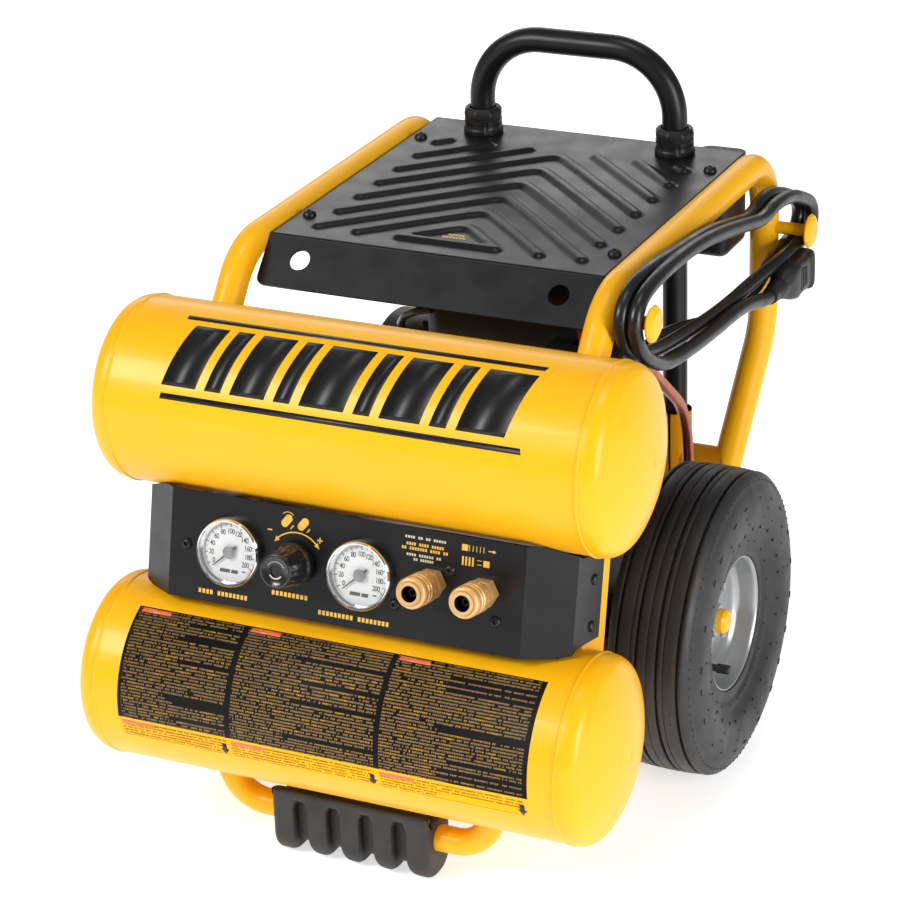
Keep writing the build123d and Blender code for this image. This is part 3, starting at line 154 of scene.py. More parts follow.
# ---------------------------------------------------------------- node materials
class Shader:
    """A node material made from a few calls."""

    def __init__(self, name):
        self.material = bpy.data.materials.new(name)
        self.material.use_nodes = True
        self.tree = self.material.node_tree
        self.tree.nodes.clear()
        self.bsdf = self.node("ShaderNodeBsdfPrincipled")
        out = self.node("ShaderNodeOutputMaterial")
        self.tree.links.new(self.bsdf.outputs[0], out.inputs[0])
        self.coords = self.node("ShaderNodeTexCoord").outputs["Object"]

    def node(self, kind, **settings):
        made = self.tree.nodes.new(kind)
        for key, value in settings.items():
            setattr(made, key, value)
        return made

    def plug(self, socket, value):
        """Link a socket, or set its own value."""
        if isinstance(value, bpy.types.NodeSocket):
            self.tree.links.new(value, socket)
        else:
            socket.default_value = value

    def math(self, operation, *values):
        made = self.node("ShaderNodeMath", operation=operation)
        for socket, value in zip(made.inputs, values):
            self.plug(socket, value)
        return made.outputs[0]

    def noise(self, scale, detail=3.0, stretch=(1, 1, 1), source=None):
        """Grey noise in object space; scale is in repeats per metre."""
        mapping = self.node("ShaderNodeMapping")
        self.plug(mapping.inputs["Vector"], source or self.coords)
        mapping.inputs["Scale"].default_value = stretch
        made = self.node("ShaderNodeTexNoise")
        made.inputs["Scale"].default_value = scale
        made.inputs["Detail"].default_value = detail
        self.plug(made.inputs["Vector"], mapping.outputs[0])
        return made.outputs["Fac"]

    def ramp(self, value, low, high, start=0.0, end=1.0):
        """Map a value to between two numbers or two colours."""
        if isinstance(low, (int, float)):
            made = self.node("ShaderNodeMapRange")
            for key, number in zip(("From Min", "From Max", "To Min", "To Max"), (start, end, low, high)):
                made.inputs[key].default_value = number
            self.plug(made.inputs["Value"], value)
            return made.outputs[0]
        made = self.node("ShaderNodeValToRGB")
        for stop, place, colour in zip(made.color_ramp.elements, (start, end), (low, high)):
            stop.position = place
            stop.color = (*colour, 1)
        self.plug(made.inputs[0], value)
        return made.outputs[0]

    def mix(self, mask, first, second):
        """Colour mix by a mask."""
        made = self.node("ShaderNodeMix", data_type="RGBA")
        self.plug(made.inputs[0], mask)
        for socket, colour in zip((made.inputs[6], made.inputs[7]), (first, second)):
            self.plug(socket, (*colour, 1) if isinstance(colour, tuple) else colour)
        return made.outputs[2]

    def bump(self, height, distance, strength=1.0):
        """Bump of a grey value; distance is its depth in metres."""
        made = self.node("ShaderNodeBump")
        made.inputs["Distance"].default_value = distance
        made.inputs["Strength"].default_value = strength
        self.plug(made.inputs["Height"], height)
        previous = self.bsdf.inputs["Normal"].links
        if previous:
            self.tree.links.new(previous[0].from_socket, made.inputs["Normal"])
        self.plug(self.bsdf.inputs["Normal"], made.outputs[0])

    def set(self, **values):
        """Set the shader's own sockets; names use _ for spaces."""
        for key, value in values.items():
            socket = self.bsdf.inputs[key.replace("_", " ")]
            if isinstance(value, tuple) and len(value) == 3:
                value = (*value, 1)
            self.plug(socket, value)
        return self


def shade(colour, factor):
    """A colour made lighter or darker."""
    return tuple(min(1.0, channel * factor) for channel in colour)


def coating(name, colour, rough, metal=0.0, coat=0.0, cloud=(9.0, 0.06), spread=0.08, grain=(900.0, 0.00003),
            stretch=(1, 1, 1), shine=0.5):
    """General surface, kept by its name: slow colour clouds, uneven gloss and a fine bump."""
    s = Shader(name)
    slow = s.noise(cloud[0])
    base = s.ramp(slow, shade(colour, 1 - cloud[1]), shade(colour, 1 + cloud[1]), 0.3, 0.7)
    uneven = s.ramp(s.noise(45.0, stretch=stretch), rough - spread, rough + spread, 0.3, 0.7)
    s.set(Base_Color=base, Roughness=uneven, Metallic=metal, Specular_IOR_Level=shine)
    if coat:
        s.set(Coat_Weight=coat, Coat_Roughness=0.08)
    if grain:
        s.bump(s.noise(grain[0], 2.0, stretch), grain[1])
    MATERIALS[name] = s.material


MATERIALS = {}
YELLOW = (0.96, 0.47, 0.004)
coating("yellow_paint", YELLOW, 0.36, coat=0.08, cloud=(5.0, 0.02), spread=0.03, grain=(420.0, 0.00001),
        shine=0.3)
coating("black_paint", (0.006, 0.006, 0.007), 0.34, cloud=(30.0, 0.2), spread=0.04, grain=(2200.0, 0.00003),
        shine=0.32)
coating("black_plastic", (0.009, 0.009, 0.010), 0.42, cloud=(40.0, 0.15), grain=(1600.0, 0.00006), shine=0.4)
coating("rubber", (0.018, 0.018, 0.019), 0.55, cloud=(25.0, 0.3), grain=(1400.0, 0.00008))
coating("cord_jacket", (0.007, 0.007, 0.008), 0.34, cloud=(20.0, 0.2), grain=(700.0, 0.00004))
coating("tyre", (0.020, 0.020, 0.021), 0.52, cloud=(18.0, 0.35), grain=(1200.0, 0.0001))
coating("rim_silver", (0.42, 0.43, 0.44), 0.34, metal=0.75, cloud=(12.0, 0.1), grain=(1100.0, 0.00004))
coating("steel", (0.42, 0.42, 0.43), 0.30, metal=1.0, cloud=(40.0, 0.12))
coating("brass", (0.74, 0.47, 0.20), 0.38, metal=0.55, cloud=(60.0, 0.08), grain=(2600.0, 0.00002))
coating("chrome", (0.72, 0.73, 0.75), 0.10, metal=1.0, cloud=(30.0, 0.05), spread=0.04, grain=None)
coating("dial_white", (0.74, 0.74, 0.73), 0.5, cloud=(60.0, 0.02))
coating("needle_black", (0.01, 0.01, 0.01), 0.4, cloud=(60.0, 0.1))
coating("copper", (0.44, 0.135, 0.075), 0.36, metal=1.0, cloud=(35.0, 0.25), grain=(500.0, 0.00003))
coating("cast_iron", (0.05, 0.05, 0.053), 0.55, metal=0.3, cloud=(30.0, 0.3), grain=(900.0, 0.0003))
coating("aluminium", (0.14, 0.14, 0.145), 0.5, metal=0.8, cloud=(25.0, 0.15), grain=(1200.0, 0.00015))
coating("red_plastic", (0.45, 0.012, 0.01), 0.4, cloud=(40.0, 0.1))
coating("black_steel", (0.022, 0.022, 0.024), 0.34, metal=0.6, cloud=(60.0, 0.2))
coating("black_gloss", (0.010, 0.010, 0.011), 0.24, coat=0.3, cloud=(40.0, 0.15), spread=0.04)
coating("plug_rubber", (0.012, 0.012, 0.013), 0.42, cloud=(40.0, 0.2), grain=(1500.0, 0.00006))
coating("pot_metal", (0.22, 0.22, 0.23), 0.45, metal=0.8, cloud=(90.0, 0.25))
coating("ink", (0.012, 0.012, 0.012), 0.5, cloud=(90.0, 0.2), grain=None)
coating("decal_black", (0.005, 0.005, 0.005), 0.38, cloud=(20.0, 0.15), spread=0.03, grain=None, shine=0.4)
coating("decal_gold", (0.78, 0.45, 0.06), 0.45, cloud=(150.0, 0.1), grain=None)
coating("decal_pale", (0.62, 0.55, 0.38), 0.5, cloud=(150.0, 0.1), grain=None)
coating("decal_orange", (0.85, 0.16, 0.04), 0.35, coat=0.3, cloud=(150.0, 0.08), grain=None)


def white_noise(s, *numbers):
    """Grey that depends on three numbers alone."""
    triple = s.node("ShaderNodeCombineXYZ")
    for socket, number in zip(triple.inputs, numbers):
        s.plug(socket, number)
    made = s.node("ShaderNodeTexWhiteNoise", noise_dimensions="3D")
    s.plug(made.inputs[0], triple.outputs[0])
    return made.outputs[0]


def product(s, *values):
    """All the values multiplied."""
    made = values[0]
    for value in values[1:]:
        made = s.math("MULTIPLY", made, value)
    return made


def printed(name, ground, ink, second, row_height, letter, fill):
    """Rows of tiny marks, like fine print seen from afar; x runs along the tank and the angle up it."""
    s = Shader(name)
    split = s.node("ShaderNodeSeparateXYZ")
    s.plug(split.inputs[0], s.coords)
    x, y, z = split.outputs
    angle = s.math("ARCTAN2", s.math("SUBTRACT", z, LOWER[1] * MM), s.math("SUBTRACT", LOWER[0] * MM, y))
    up_shell = s.math("MULTIPLY", angle, TANK_R)
    along = s.math("MULTIPLY", x, 1 / MM)
    rows = s.math("DIVIDE", up_shell, row_height)
    row_index = s.math("FLOOR", rows)
    in_row = s.math("FRACT", rows)
    spot = s.math("DIVIDE", along, letter)
    letters = white_noise(s, s.math("FLOOR", spot), row_index, 1.0)
    words = white_noise(s, s.math("FLOOR", s.math("DIVIDE", along, letter * WORD)), row_index, 2.0)
    in_letter = s.math("FRACT", spot)
    mark = product(s, s.math("GREATER_THAN", in_row, 0.30), s.math("LESS_THAN", in_row, 0.86),
                   s.math("GREATER_THAN", letters, 0.14), s.math("GREATER_THAN", in_letter, 0.22))
    crossbar = product(s, s.math("GREATER_THAN", in_letter, 0.5), s.math("LESS_THAN", in_row, 0.58),
                       s.math("GREATER_THAN", letters, 0.45))
    mark = product(s, mark, s.math("MAXIMUM", s.math("SUBTRACT", 1.0, crossbar), 0.25))
    for left, right_edge in PRINT_COLUMNS:
        share = white_noise(s, row_index, left, 3.0)
        short = s.math("LESS_THAN", share, SHORT_ROWS)
        width = s.math("MULTIPLY", right_edge - left - 5.0, s.math("ADD", 0.35, share))
        reach = s.math("ADD", left + 2.5, width)
        beyond = product(s, s.math("GREATER_THAN", along, reach), s.math("LESS_THAN", along, right_edge))
        edge = s.math("ABSOLUTE", s.math("SUBTRACT", along, right_edge + 1.0))
        mark = product(s, mark, s.math("SUBTRACT", 1.0, product(s, short, beyond)),
                       s.math("GREATER_THAN", edge, GUTTER))
    mark = product(s, mark, s.math("LESS_THAN", s.math("ABSOLUTE", along), PRINT_END))
    tone = s.mix(s.math("GREATER_THAN", words, 0.86), ink, second)
    colour = s.mix(product(s, mark, fill), ground, tone)
    s.set(Base_Color=colour, Roughness=s.ramp(s.noise(40.0), 0.50, 0.58), Specular_IOR_Level=0.12)
    MATERIALS[name] = s.material


PRINT_COLUMNS = [(-176.0, -79.5), (-77.5, 50.5), (52.5, 177.0)]
PRINT_END, GUTTER, SHORT_ROWS, WORD = 174.5, 2.4, 0.16, 5.3
DARK_INK = (0.012, 0.010, 0.008)
printed("print_panel", (0.006, 0.005, 0.005), (0.30, 0.19, 0.07), (0.48, 0.27, 0.03), 2.62, 1.45, 0.9)
printed("print_strip", YELLOW, DARK_INK, DARK_INK, 2.9, 1.5, 0.85)
glass = Shader("lens")
glass.set(Base_Color=(1.0, 1.0, 1.0), Roughness=glass.ramp(glass.noise(60.0), 0.02, 0.05), Alpha=0.05,
          IOR=1.45)
MATERIALS["lens"] = glass.material
for row in frame["record"]["subparts"]:
    node = NODES[row["node"]]
    node.data.materials.clear()
    node.data.materials.append(MATERIALS[row["material_slot"]])
cord.data.materials.clear()
cord.data.materials.append(MATERIALS["cord_jacket"])

# ---------------------------------------------------------------- floor and light
floor_mesh = bpy.data.meshes.new("floor")
floor_mesh.from_pydata([(-8, -8, 0), (8, -8, 0), (8, 8, 0), (-8, 8, 0)], [], [(0, 1, 2, 3)])
floor = bpy.data.objects.new("floor", floor_mesh)
bpy.context.scene.collection.objects.link(floor)
pale = Shader("floor")
pale.set(Base_Color=pale.ramp(pale.noise(1.5), (0.86, 0.86, 0.86), (0.88, 0.88, 0.88)), Roughness=0.8,
         Specular_IOR_Level=0.1, Emission_Color=(1.0, 1.0, 1.0), Emission_Strength=0.62)
floor.data.materials.append(pale.material)

bpy.context.scene.view_settings.view_transform = "Standard"
world = bpy.data.worlds.new("studio")
bpy.context.scene.world = world
world.use_nodes = True
world.node_tree.nodes["Background"].inputs[0].default_value = (1, 1, 1, 1)
world.node_tree.nodes["Background"].inputs[1].default_value = 0.22


def softbox(name, place, target, size, power):
    """Rectangular studio light."""
    data = bpy.data.lights.new(name, "AREA")
    data.shape = "RECTANGLE"
    data.size, data.size_y = size
    data.energy = power
    lamp = bpy.data.objects.new(name, data)
    bpy.context.scene.collection.objects.link(lamp)
    lamp.location = place
    aim(lamp, target)


softbox("key_front_left", (-1.7, -2.3, 2.3), (0, 0, 0.25), (1.3, 1.3), 78)
softbox("right_strip", (2.5, -1.0, 0.9), (0, 0, 0.25), (0.7, 1.5), 48)
softbox("backdrop", (-1.4, 2.9, 1.6), (0, 0, 0.4), (3.2, 0.9), 22)
softbox("overhead", (0.1, -0.1, 3.0), (0, 0, 0.3), (0.8, 0.8), 12)



# ---------------------------------------------------------------- mesh making, in millimetres
def circle(radius, height, steps, wobble=None):
    """Points of a ring; wobble changes the radius with the angle."""
    ring = []
    for index in range(steps):
        angle = 2 * pi * index / steps
        reach = radius * (wobble(angle, height) if wobble else 1.0)
        ring.append(Vector((reach * cos(angle), reach * sin(angle), height)))
    return ring


def soften(outline, radius, closed=False, steps=3):
    """Round the corners of an outline of 2-D points."""
    count, made = len(outline), []
    for index, here in enumerate(outline):
        here = Vector(here)
        if not closed and index in (0, count - 1):
            made.append(tuple(here))
            continue
        before, after = Vector(outline[index - 1]), Vector(outline[(index + 1) % count])
        reach = min(radius, (before - here).length * 0.45, (after - here).length * 0.45)
        first = here + (before - here).normalized() * reach
        last = here + (after - here).normalized() * reach
        for step in range(steps + 1):
            t = step / steps
            made.append(tuple(first.lerp(here, t).lerp(here.lerp(last, t), t)))
    return made


class Build:
    """Collects the faces of one piece."""

    def __init__(self):
        self.bm = bmesh.new()

    def grid(self, rows, base=Matrix(), around=True, loop=False):
        """Skin rows of points; around closes each row, loop joins the last row to the first."""
        made = [[self.bm.verts.new(base @ Vector(point)) for point in row] for row in rows]
        pairs = list(zip(made, made[1:])) + ([(made[-1], made[0])] if loop else [])
        for low, high in pairs:
            count = len(low)
            for index in range(count if around else count - 1):
                after = (index + 1) % count
                self.bm.faces.new((low[index], low[after], high[after], high[index]))
        return made

    def spin(self, base, outline, steps=64, wobble=None, loop=False):
        """Turn (radius, height) points about the Z of a base."""
        self.grid([circle(max(r, 0.0), h, steps, wobble) for r, h in outline], base, loop=loop)

    def solid(self, rows, base=Matrix()):
        """Skin rows of points and close both ends."""
        made = self.grid(rows, base)
        self.bm.faces.new(list(reversed(made[0])))
        self.bm.faces.new(made[-1])

    def box(self, base, size, centre=(0, 0, 0)):
        """Block about a centre."""
        x, y, z = (side / 2 for side in size)
        corners = [(-x, -y), (x, -y), (x, y), (-x, y)]
        self.solid([[(*corner, level) for corner in corners] for level in (-z, z)],
                   base @ Matrix.Translation(centre))

    def tube(self, points, radius, steps=12):
        """Round bar along points."""
        rings, side = [], None
        for index, here in enumerate(points):
            ahead = Vector(points[min(index + 1, len(points) - 1)]) - Vector(points[max(index - 1, 0)])
            ahead.normalize()
            if side is None:
                side = ahead.orthogonal().normalized()
            side = (side - ahead * side.dot(ahead)).normalized()
            other = ahead.cross(side)
            turns = [2 * pi * k / steps for k in range(steps)]
            rings.append([Vector(here) + (side * cos(a) + other * sin(a)) * radius for a in turns])
        self.solid(rings)

    def done(self, name, material, body, replaces=(), crease=38, bevel=0.0, thick=0.0):
        """Turn the faces into a piece that rides on a body."""
        bmesh.ops.remove_doubles(self.bm, verts=self.bm.verts, dist=0.0005)
        bmesh.ops.recalc_face_normals(self.bm, faces=self.bm.faces)
        mesh = bpy.data.meshes.new(name)
        self.bm.to_mesh(mesh)
        self.bm.free()
        mesh.transform(Matrix.Scale(MM, 4))
        mesh.shade_smooth()
        mesh.set_sharp_from_angle(angle=radians(crease))
        piece = bpy.data.objects.new(name, mesh)
        bpy.context.scene.collection.objects.link(piece)
        if thick:
            shell = piece.modifiers.new("thickness", "SOLIDIFY")
            shell.thickness, shell.offset = thick * MM, -1.0
        if bevel:
            edge = piece.modifiers.new("edges", "BEVEL")
            edge.width, edge.segments, edge.limit_method = bevel * MM, 2, "ANGLE"
            edge.angle_limit = radians(40)
        mesh.materials.append(MATERIALS[material])
        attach(piece, body)
        if replaces:
            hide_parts(*replaces)
        return piece


def sheet(name, loops, base, lift, material, body, depth=0.1, text=()):
    """Printed shapes: closed 2-D loops (inner ones cut holes) and dial figures on a base."""
    build = Build()
    shape = bpy.data.curves.new(name, "CURVE")
    shape.dimensions, shape.fill_mode, shape.extrude = "2D", "BOTH", depth / 2
    for loop in loops:
        spline = shape.splines.new("POLY")
        spline.points.add(len(loop) - 1)
        for point, (x, y) in zip(spline.points, loop):
            point.co = (x, y, 0, 1)
        spline.use_cyclic_u = True
    parts = [(shape, Matrix())]
    for words, x, y, size, turn in text:
        font = bpy.data.curves.new(words, "FONT")
        font.body, font.size, font.extrude = words, size, depth / 2
        font.align_x, font.align_y, font.offset = "CENTER", "CENTER", 0.09
        font.space_character = 0.9
        narrow = Matrix.Diagonal((0.82, 1, 1, 1))
        parts.append((font, Matrix.Translation((x, y, 0)) @ Matrix.Rotation(turn, 4, "Z") @ narrow))
    for data, place in parts:
        holder = bpy.data.objects.new("holder", data)
        bpy.context.scene.collection.objects.link(holder)
        flat = bpy.data.meshes.new_from_object(holder)
        flat.transform(base @ Matrix.Translation((0, 0, lift)) @ place)
        build.bm.from_mesh(flat)
        bpy.data.objects.remove(holder)
    return build.done(name, material, body, crease=30)


def ring_loop(radius, steps=48, x=0.0, y=0.0, start=0.0, end=2 * pi):
    """Points of a circle, or of an arc of it."""
    whole = end - start >= 2 * pi
    angles = [start + (end - start) * k / steps for k in range(steps if whole else steps + 1)]
    return [(x + radius * cos(angle), y + radius * sin(angle)) for angle in angles]


def band_loop(outer, inner, steps, start, end, x=0.0, y=0.0):
    """Outline of a curved stroke between two radii."""
    return ring_loop(outer, steps, x, y, start, end) + ring_loop(inner, steps, x, y, start, end)[::-1]


def bar_loop(x, y, width, height, slant=0.0):
    """Corner points of an upright or slanted bar whose lower left corner is given."""
    return [(x, y), (x + width, y), (x + width + slant, y + height), (x + slant, y + height)]


# ---------------------------------------------------------------- prints on the tanks
def on_tank(tank, x, degrees, lift):
    """Point on a tank's shell, degrees up from its front."""
    angle, reach = radians(degrees), TANK_R + lift
    return Vector((x, tank[0] - reach * cos(angle), tank[1] + reach * sin(angle)))


def wrap(build, tank, low_pair, high_pair, low, high, lift=0.12):
    """Band of print between two heights; each pair is the left and right x at that height."""
    steps = max(2, int(abs(high - low) / 3) + 1)
    rows = []
    for step in range(steps + 1):
        t = step / steps
        edges = [a + (b - a) * t for a, b in zip(low_pair, high_pair)]
        rows.append([on_tank(tank, x, low + (high - low) * t, lift) for x in edges])
    build.grid(rows, around=False)


UPPER_STRIPES = [((-152, 155), (-151, 154), 19.7, 23.3), ((-151.5, 153.5), (-152.5, 155.5), 74.6, 78.4)]
build = Build()
for low_pair, high_pair, low, high in UPPER_STRIPES:
    wrap(build, UPPER, low_pair, high_pair, low, high)
BARS = [(-152, 30), (-114, 14), (-92, 30), (-54, 14), (-32, 38), (14, 14), (36, 34), (78, 14), (100, 40)]
SLANT, BAR_LOW, BAR_HIGH = 12.0, 28.0, 70.0
for x, width in BARS:
    wrap(build, UPPER, (x, x + width), (x + SLANT, x + width + SLANT), BAR_LOW, BAR_HIGH)
build.done("upper_tank_graphic", "decal_black", "frame", thick=0.3)

build = Build()
wrap(build, LOWER, (-178, 178.5), (-176.5, 178.5), -7.0, 66.0)
build.done("lower_tank_panel", "print_panel", "frame", thick=0.3)
build = Build()
wrap(build, LOWER, (-177, 176), (-177, 176), -20.6, -8.6)
build.done("lower_tank_strip", "print_strip", "frame", thick=0.3)
build = Build()
for left, right_edge in PRINT_COLUMNS:
    for indent, width, low, high in ((3, 26, 62.0, 65.0), (1, 30, -11.6, -8.8)):
        header = (left + indent, left + indent + width)
        wrap(build, LOWER, header, header, low, high, 0.22)
build.done("print_header_bars", "decal_orange", "frame", thick=0.3)
build = Build()
for left, right_edge in PRINT_COLUMNS:
    middle = right_edge - 3.5
    shaft = (middle - 2.0, middle + 2.0)
    wrap(build, LOWER, shaft, shaft, -16.5, -12.0, 0.25)
    wrap(build, LOWER, (middle - 0.1, middle + 0.1), (middle - 4.0, middle + 4.0), -20.0, -16.0, 0.25)
build.done("print_arrows", "decal_black", "frame", thick=0.3)

# ---------------------------------------------------------------- top plate with its raised ribs
RIB_PITCH, RIB_FIRST, RIB_REACH, RIB_FRONT, RIB_BACK = 38.1, 15.4, 117.0, -27.0, 212.0
RIB_IN, RIB_OUT, RIB_HEIGHT, APEX_ROUND = 2.0, 7.2, 3.0, 5.0
FOLD_R, FLANGE_LENGTH, FLANGE_TILT = 4.0, 47.5, radians(44)
ribs = []
for index in range(9):
    apex = RIB_FIRST + index * RIB_PITCH
    start, end = max(0.0, apex - RIB_BACK), min(RIB_REACH, apex - RIB_FRONT)
    if end - start > 4:
        ribs.append((Vector((start, apex - start)), Vector((end, apex - end))))
base_bar = (Vector((0, RIB_FRONT)), Vector((RIB_FIRST - RIB_FRONT, RIB_FRONT)))


def rib_height(x, y):
    """Height of the pressed ribs at a spot on the plate."""
    side = math.sqrt(x * x + APEX_ROUND ** 2) if abs(x) < 30 else abs(x)
    spot = Vector((side, y))
    nearest = RIB_OUT
    for first, last in ribs + [base_bar]:
        along = last - first
        t = max(0.0, min(1.0, (spot - first).dot(along) / along.length_squared))
        nearest = min(nearest, (spot - first - along * t).length)
    t = max(0.0, min(1.0, (RIB_OUT - nearest) / (RIB_OUT - RIB_IN)))
    return RIB_HEIGHT * t * t * (3 - 2 * t)


CELL = 1.7
columns = int(2 * PLATE_X / CELL)
xs = [-PLATE_X + 2 * PLATE_X * k / columns for k in range(columns + 1)]
rows = []
y = PLATE_Y[1]
while y > PLATE_Y[0] + FOLD_R:
    rows.append([(x, y, PLATE_TOP + rib_height(x, y)) for x in xs])
    y -= CELL
fold_turn = pi / 2 - FLANGE_TILT
for step in range(7):
    a = fold_turn * step / 6
    fold_y = PLATE_Y[0] + FOLD_R * 0.9 - FOLD_R * sin(a)
    rows.append([(x, fold_y, PLATE_TOP - FOLD_R + FOLD_R * cos(a)) for x in xs])
drop = Vector((0, -sin(FLANGE_TILT), -cos(FLANGE_TILT)))
plate = Build()
plate.grid(rows, around=False)
plate_rim = rows[-1][0]
CORNER_R, HOLE_R, HOLE_X, HOLE_DOWN = 9.0, 9.0, 114.0, 19.0
flange_base = frame_at((0, plate_rim[1], plate_rim[2]), Vector((1, 0, 0)).cross(-drop), (1, 0, 0))
flange_end = FLANGE_LENGTH - 3.0
corners = [(-PLATE_X, 0.0), (-PLATE_X, -flange_end), (PLATE_X, -flange_end), (PLATE_X, 0.0)]
flange_outline = [corners[0]] + soften(corners, CORNER_R, steps=6)[1:-1] + [corners[-1]]
plate.done("top_plate_sheet", "black_paint", "frame", replaces=["top_plate"], crease=50, thick=PLATE_T)
holes = [ring_loop(HOLE_R, 40, side * HOLE_X, -HOLE_DOWN) for side in (-1, 1)]
sheet("top_plate_front", [flange_outline] + holes, flange_base, -PLATE_T / 2, "black_paint", "frame",
      depth=PLATE_T)

MARK_ROWS = ((-7.5, -9.0, 15.0), (-10.5, -14.5, 21.0))
marks = []
for left, low, width in MARK_ROWS:
    marks += [bar_loop(left + k * 3.0, low, 2.0, 3.2) for k in range(int(width / 3.0))]
sheet("top_plate_mark", marks, upright(0, 0, PLATE_TOP), 0.1, "decal_gold", "frame")

# ---------------------------------------------------------------- screws
PLATE_SCREWS = [(x, y) for x in (-136.0, 136.0) for y in (-4.0, 212.0)]
FACE_SCREWS = [(-138.0, 3.0), (90.5, 18.5), (131.0, -15.5), (46.0, -16.0)]
SIDE_SCREW_S, SIDE_SCREW_OUT, PANEL_SIDE_X = (14.7, -22.7), -60.0, 186.0
screws = Build()


def button_head(build, base, radius, height, socket):
    """Domed head with a six-sided socket, its pin going down into the hole."""
    dome = [(radius * 0.55, -7), (radius * 0.55, 0.05), (radius, 0.05), (radius * 0.97, height * 0.25)]
    dome += [(radius * 0.8, height * 0.72), (radius * 0.55, height * 0.98), (socket * 1.1, height)]

    def hexagon(angle, _height):
        """Radius of a six-sided ring."""
        return cos(pi / 6) / cos((angle % (pi / 3)) - pi / 6)

    build.spin(base, [(0, -7)] + dome + [(socket * 1.02, height)], 36)
    well = [(socket * 1.16, height - 0.02), (socket, height - 0.3), (socket, height * 0.3)]
    build.spin(base, well + [(0, height * 0.25)], 36, hexagon)


for x, y in PLATE_SCREWS:
    button_head(screws, upright(x, y, PLATE_TOP), 5.8, 4.2, 2.0)
for x, s in FACE_SCREWS:
    button_head(screws, panel(x, s), 4.6, 2.6, 1.6)
for side in (-1, 1):
    for s in SIDE_SCREW_S:
        centre = BETWEEN + UP_LEAN * s + OUTWARD * (PANEL_OUT + SIDE_SCREW_OUT)
        base = frame_at((side * PANEL_SIDE_X, centre.y, centre.z), (side, 0, 0), (0, 1, 0))
        button_head(screws, base, 4.8, 2.8, 1.6)
screws.done("screw_heads", "black_steel", "frame", replaces=["screws"])

# ---------------------------------------------------------------- gauges
DIAL_FRONT, FIRST_ANGLE, SWEEP = 2.3, radians(212), radians(244)
MARK_OUTER, FIGURE_R, FIGURE_SIZE, DIAL_ARC_R, DIAL_ARC_WIDTH = 23.4, 16.6, 5.9, 22.8, 0.35
BEZEL = [(22, -20), (24.2, -20), (24.2, 0.1), (27.6, 0.1), (28.0, 0.6), (28.0, 6.2), (27.4, 8.0),
         (26.2, 9.0), (25.2, 8.8), (24.9, 7.9), (25.45, 7.8), (25.45, 1.6), (22, 1.6)]
BEZEL_LINER = [(24.9, 7.9), (24.9, 6.3), (25.4, 5.2), (25.4, 2.4), (24.4, 2.3)]
cases = Build()
for x in GAUGE_X:
    cases.spin(panel(x, GAUGE_S), BEZEL, 96, loop=True)
    cases.spin(panel(x, GAUGE_S), BEZEL_LINER, 96)
cases.done("gauge_bezels", "chrome", "frame", replaces=["gauge_cases"])


def dial_marks():
    """Marks and figures of a dial from 0 to 200, with the finest marks only in its first half."""
    loops, figures = [], []
    for mark in range(0, 101):
        if mark > 50 and mark % 5:
            continue
        angle = FIRST_ANGLE - SWEEP * mark / 100
        length, half = (3.4, 0.32) if mark % 10 == 0 else (2.6, 0.22) if mark % 5 == 0 else (1.7, 0.14)
        along = Vector((cos(angle), sin(angle)))
        across = Vector((-along.y, along.x)) * half
        outer, inner = along * MARK_OUTER, along * (MARK_OUTER - length)
        corners = (outer + across, inner + across, inner - across, outer - across)
        loops.append([tuple(corner) for corner in corners])
        if mark % 10 == 0:
            spot = along * FIGURE_R
            figures.append((str(mark * 2), spot.x, spot.y, FIGURE_SIZE, 0.0))
    last = FIRST_ANGLE - SWEEP
    for low, high in ((FIRST_ANGLE, FIRST_ANGLE + radians(16)), (last - radians(14), last)):
        loops.append(band_loop(DIAL_ARC_R, DIAL_ARC_R - DIAL_ARC_WIDTH, 12, low, high))
    loops += [bar_loop(-8.5, -17.0, 9.0, 3.0, 0.6), bar_loop(1.5, -17.0, 6.0, 3.0, 0.6)]
    return loops + [bar_loop(11.5, -15.0, 3.0, 1.1)], figures


for label, x in zip(("left", "right"), GAUGE_X):
    loops, figures = dial_marks()
    sheet(f"{label}_dial_print", loops, panel(x, GAUGE_S), DIAL_FRONT + 0.06, "ink", "frame", 0.1, figures)
    boss = Build()
    boss.spin(panel(x, GAUGE_S), [(0, 5.6), (3.2, 5.6), (5.0, 5.2), (5.2, 4.75), (0, 4.75)], 48)
    boss.done(f"{label}_needle_boss", "pot_metal", f"{label}_needle")

# ---------------------------------------------------------------- console print
ARC_R, ARC_HALF = 24.2, 0.55
ARC_START, ARC_END = radians(46), radians(133)
gold = [band_loop(ARC_R + ARC_HALF, ARC_R - ARC_HALF, 30, ARC_START, ARC_END)]
for angle, way in ((ARC_START, -1), (ARC_END, 1)):
    tip_angle = angle + way * radians(11)
    tip = (ARC_R * cos(tip_angle), ARC_R * sin(tip_angle))
    wings = [((ARC_R + off) * cos(angle), (ARC_R + off) * sin(angle)) for off in (2.1, -2.1)]
    gold.append([tip] + wings[::way])
gold += [bar_loop(-26.2, 22.6, 4.2, 1.1), bar_loop(17.6, 20.4, 4.8, 1.1), bar_loop(19.45, 18.55, 1.1, 1.8),
         bar_loop(19.45, 21.55, 1.1, 1.8)]
PILL_R, PILL_HALF = 3.2, 2.6
STALK = [(-2.2, -0.4), (1.8, -0.7), (1.8, 0.7), (-2.2, 0.4)]
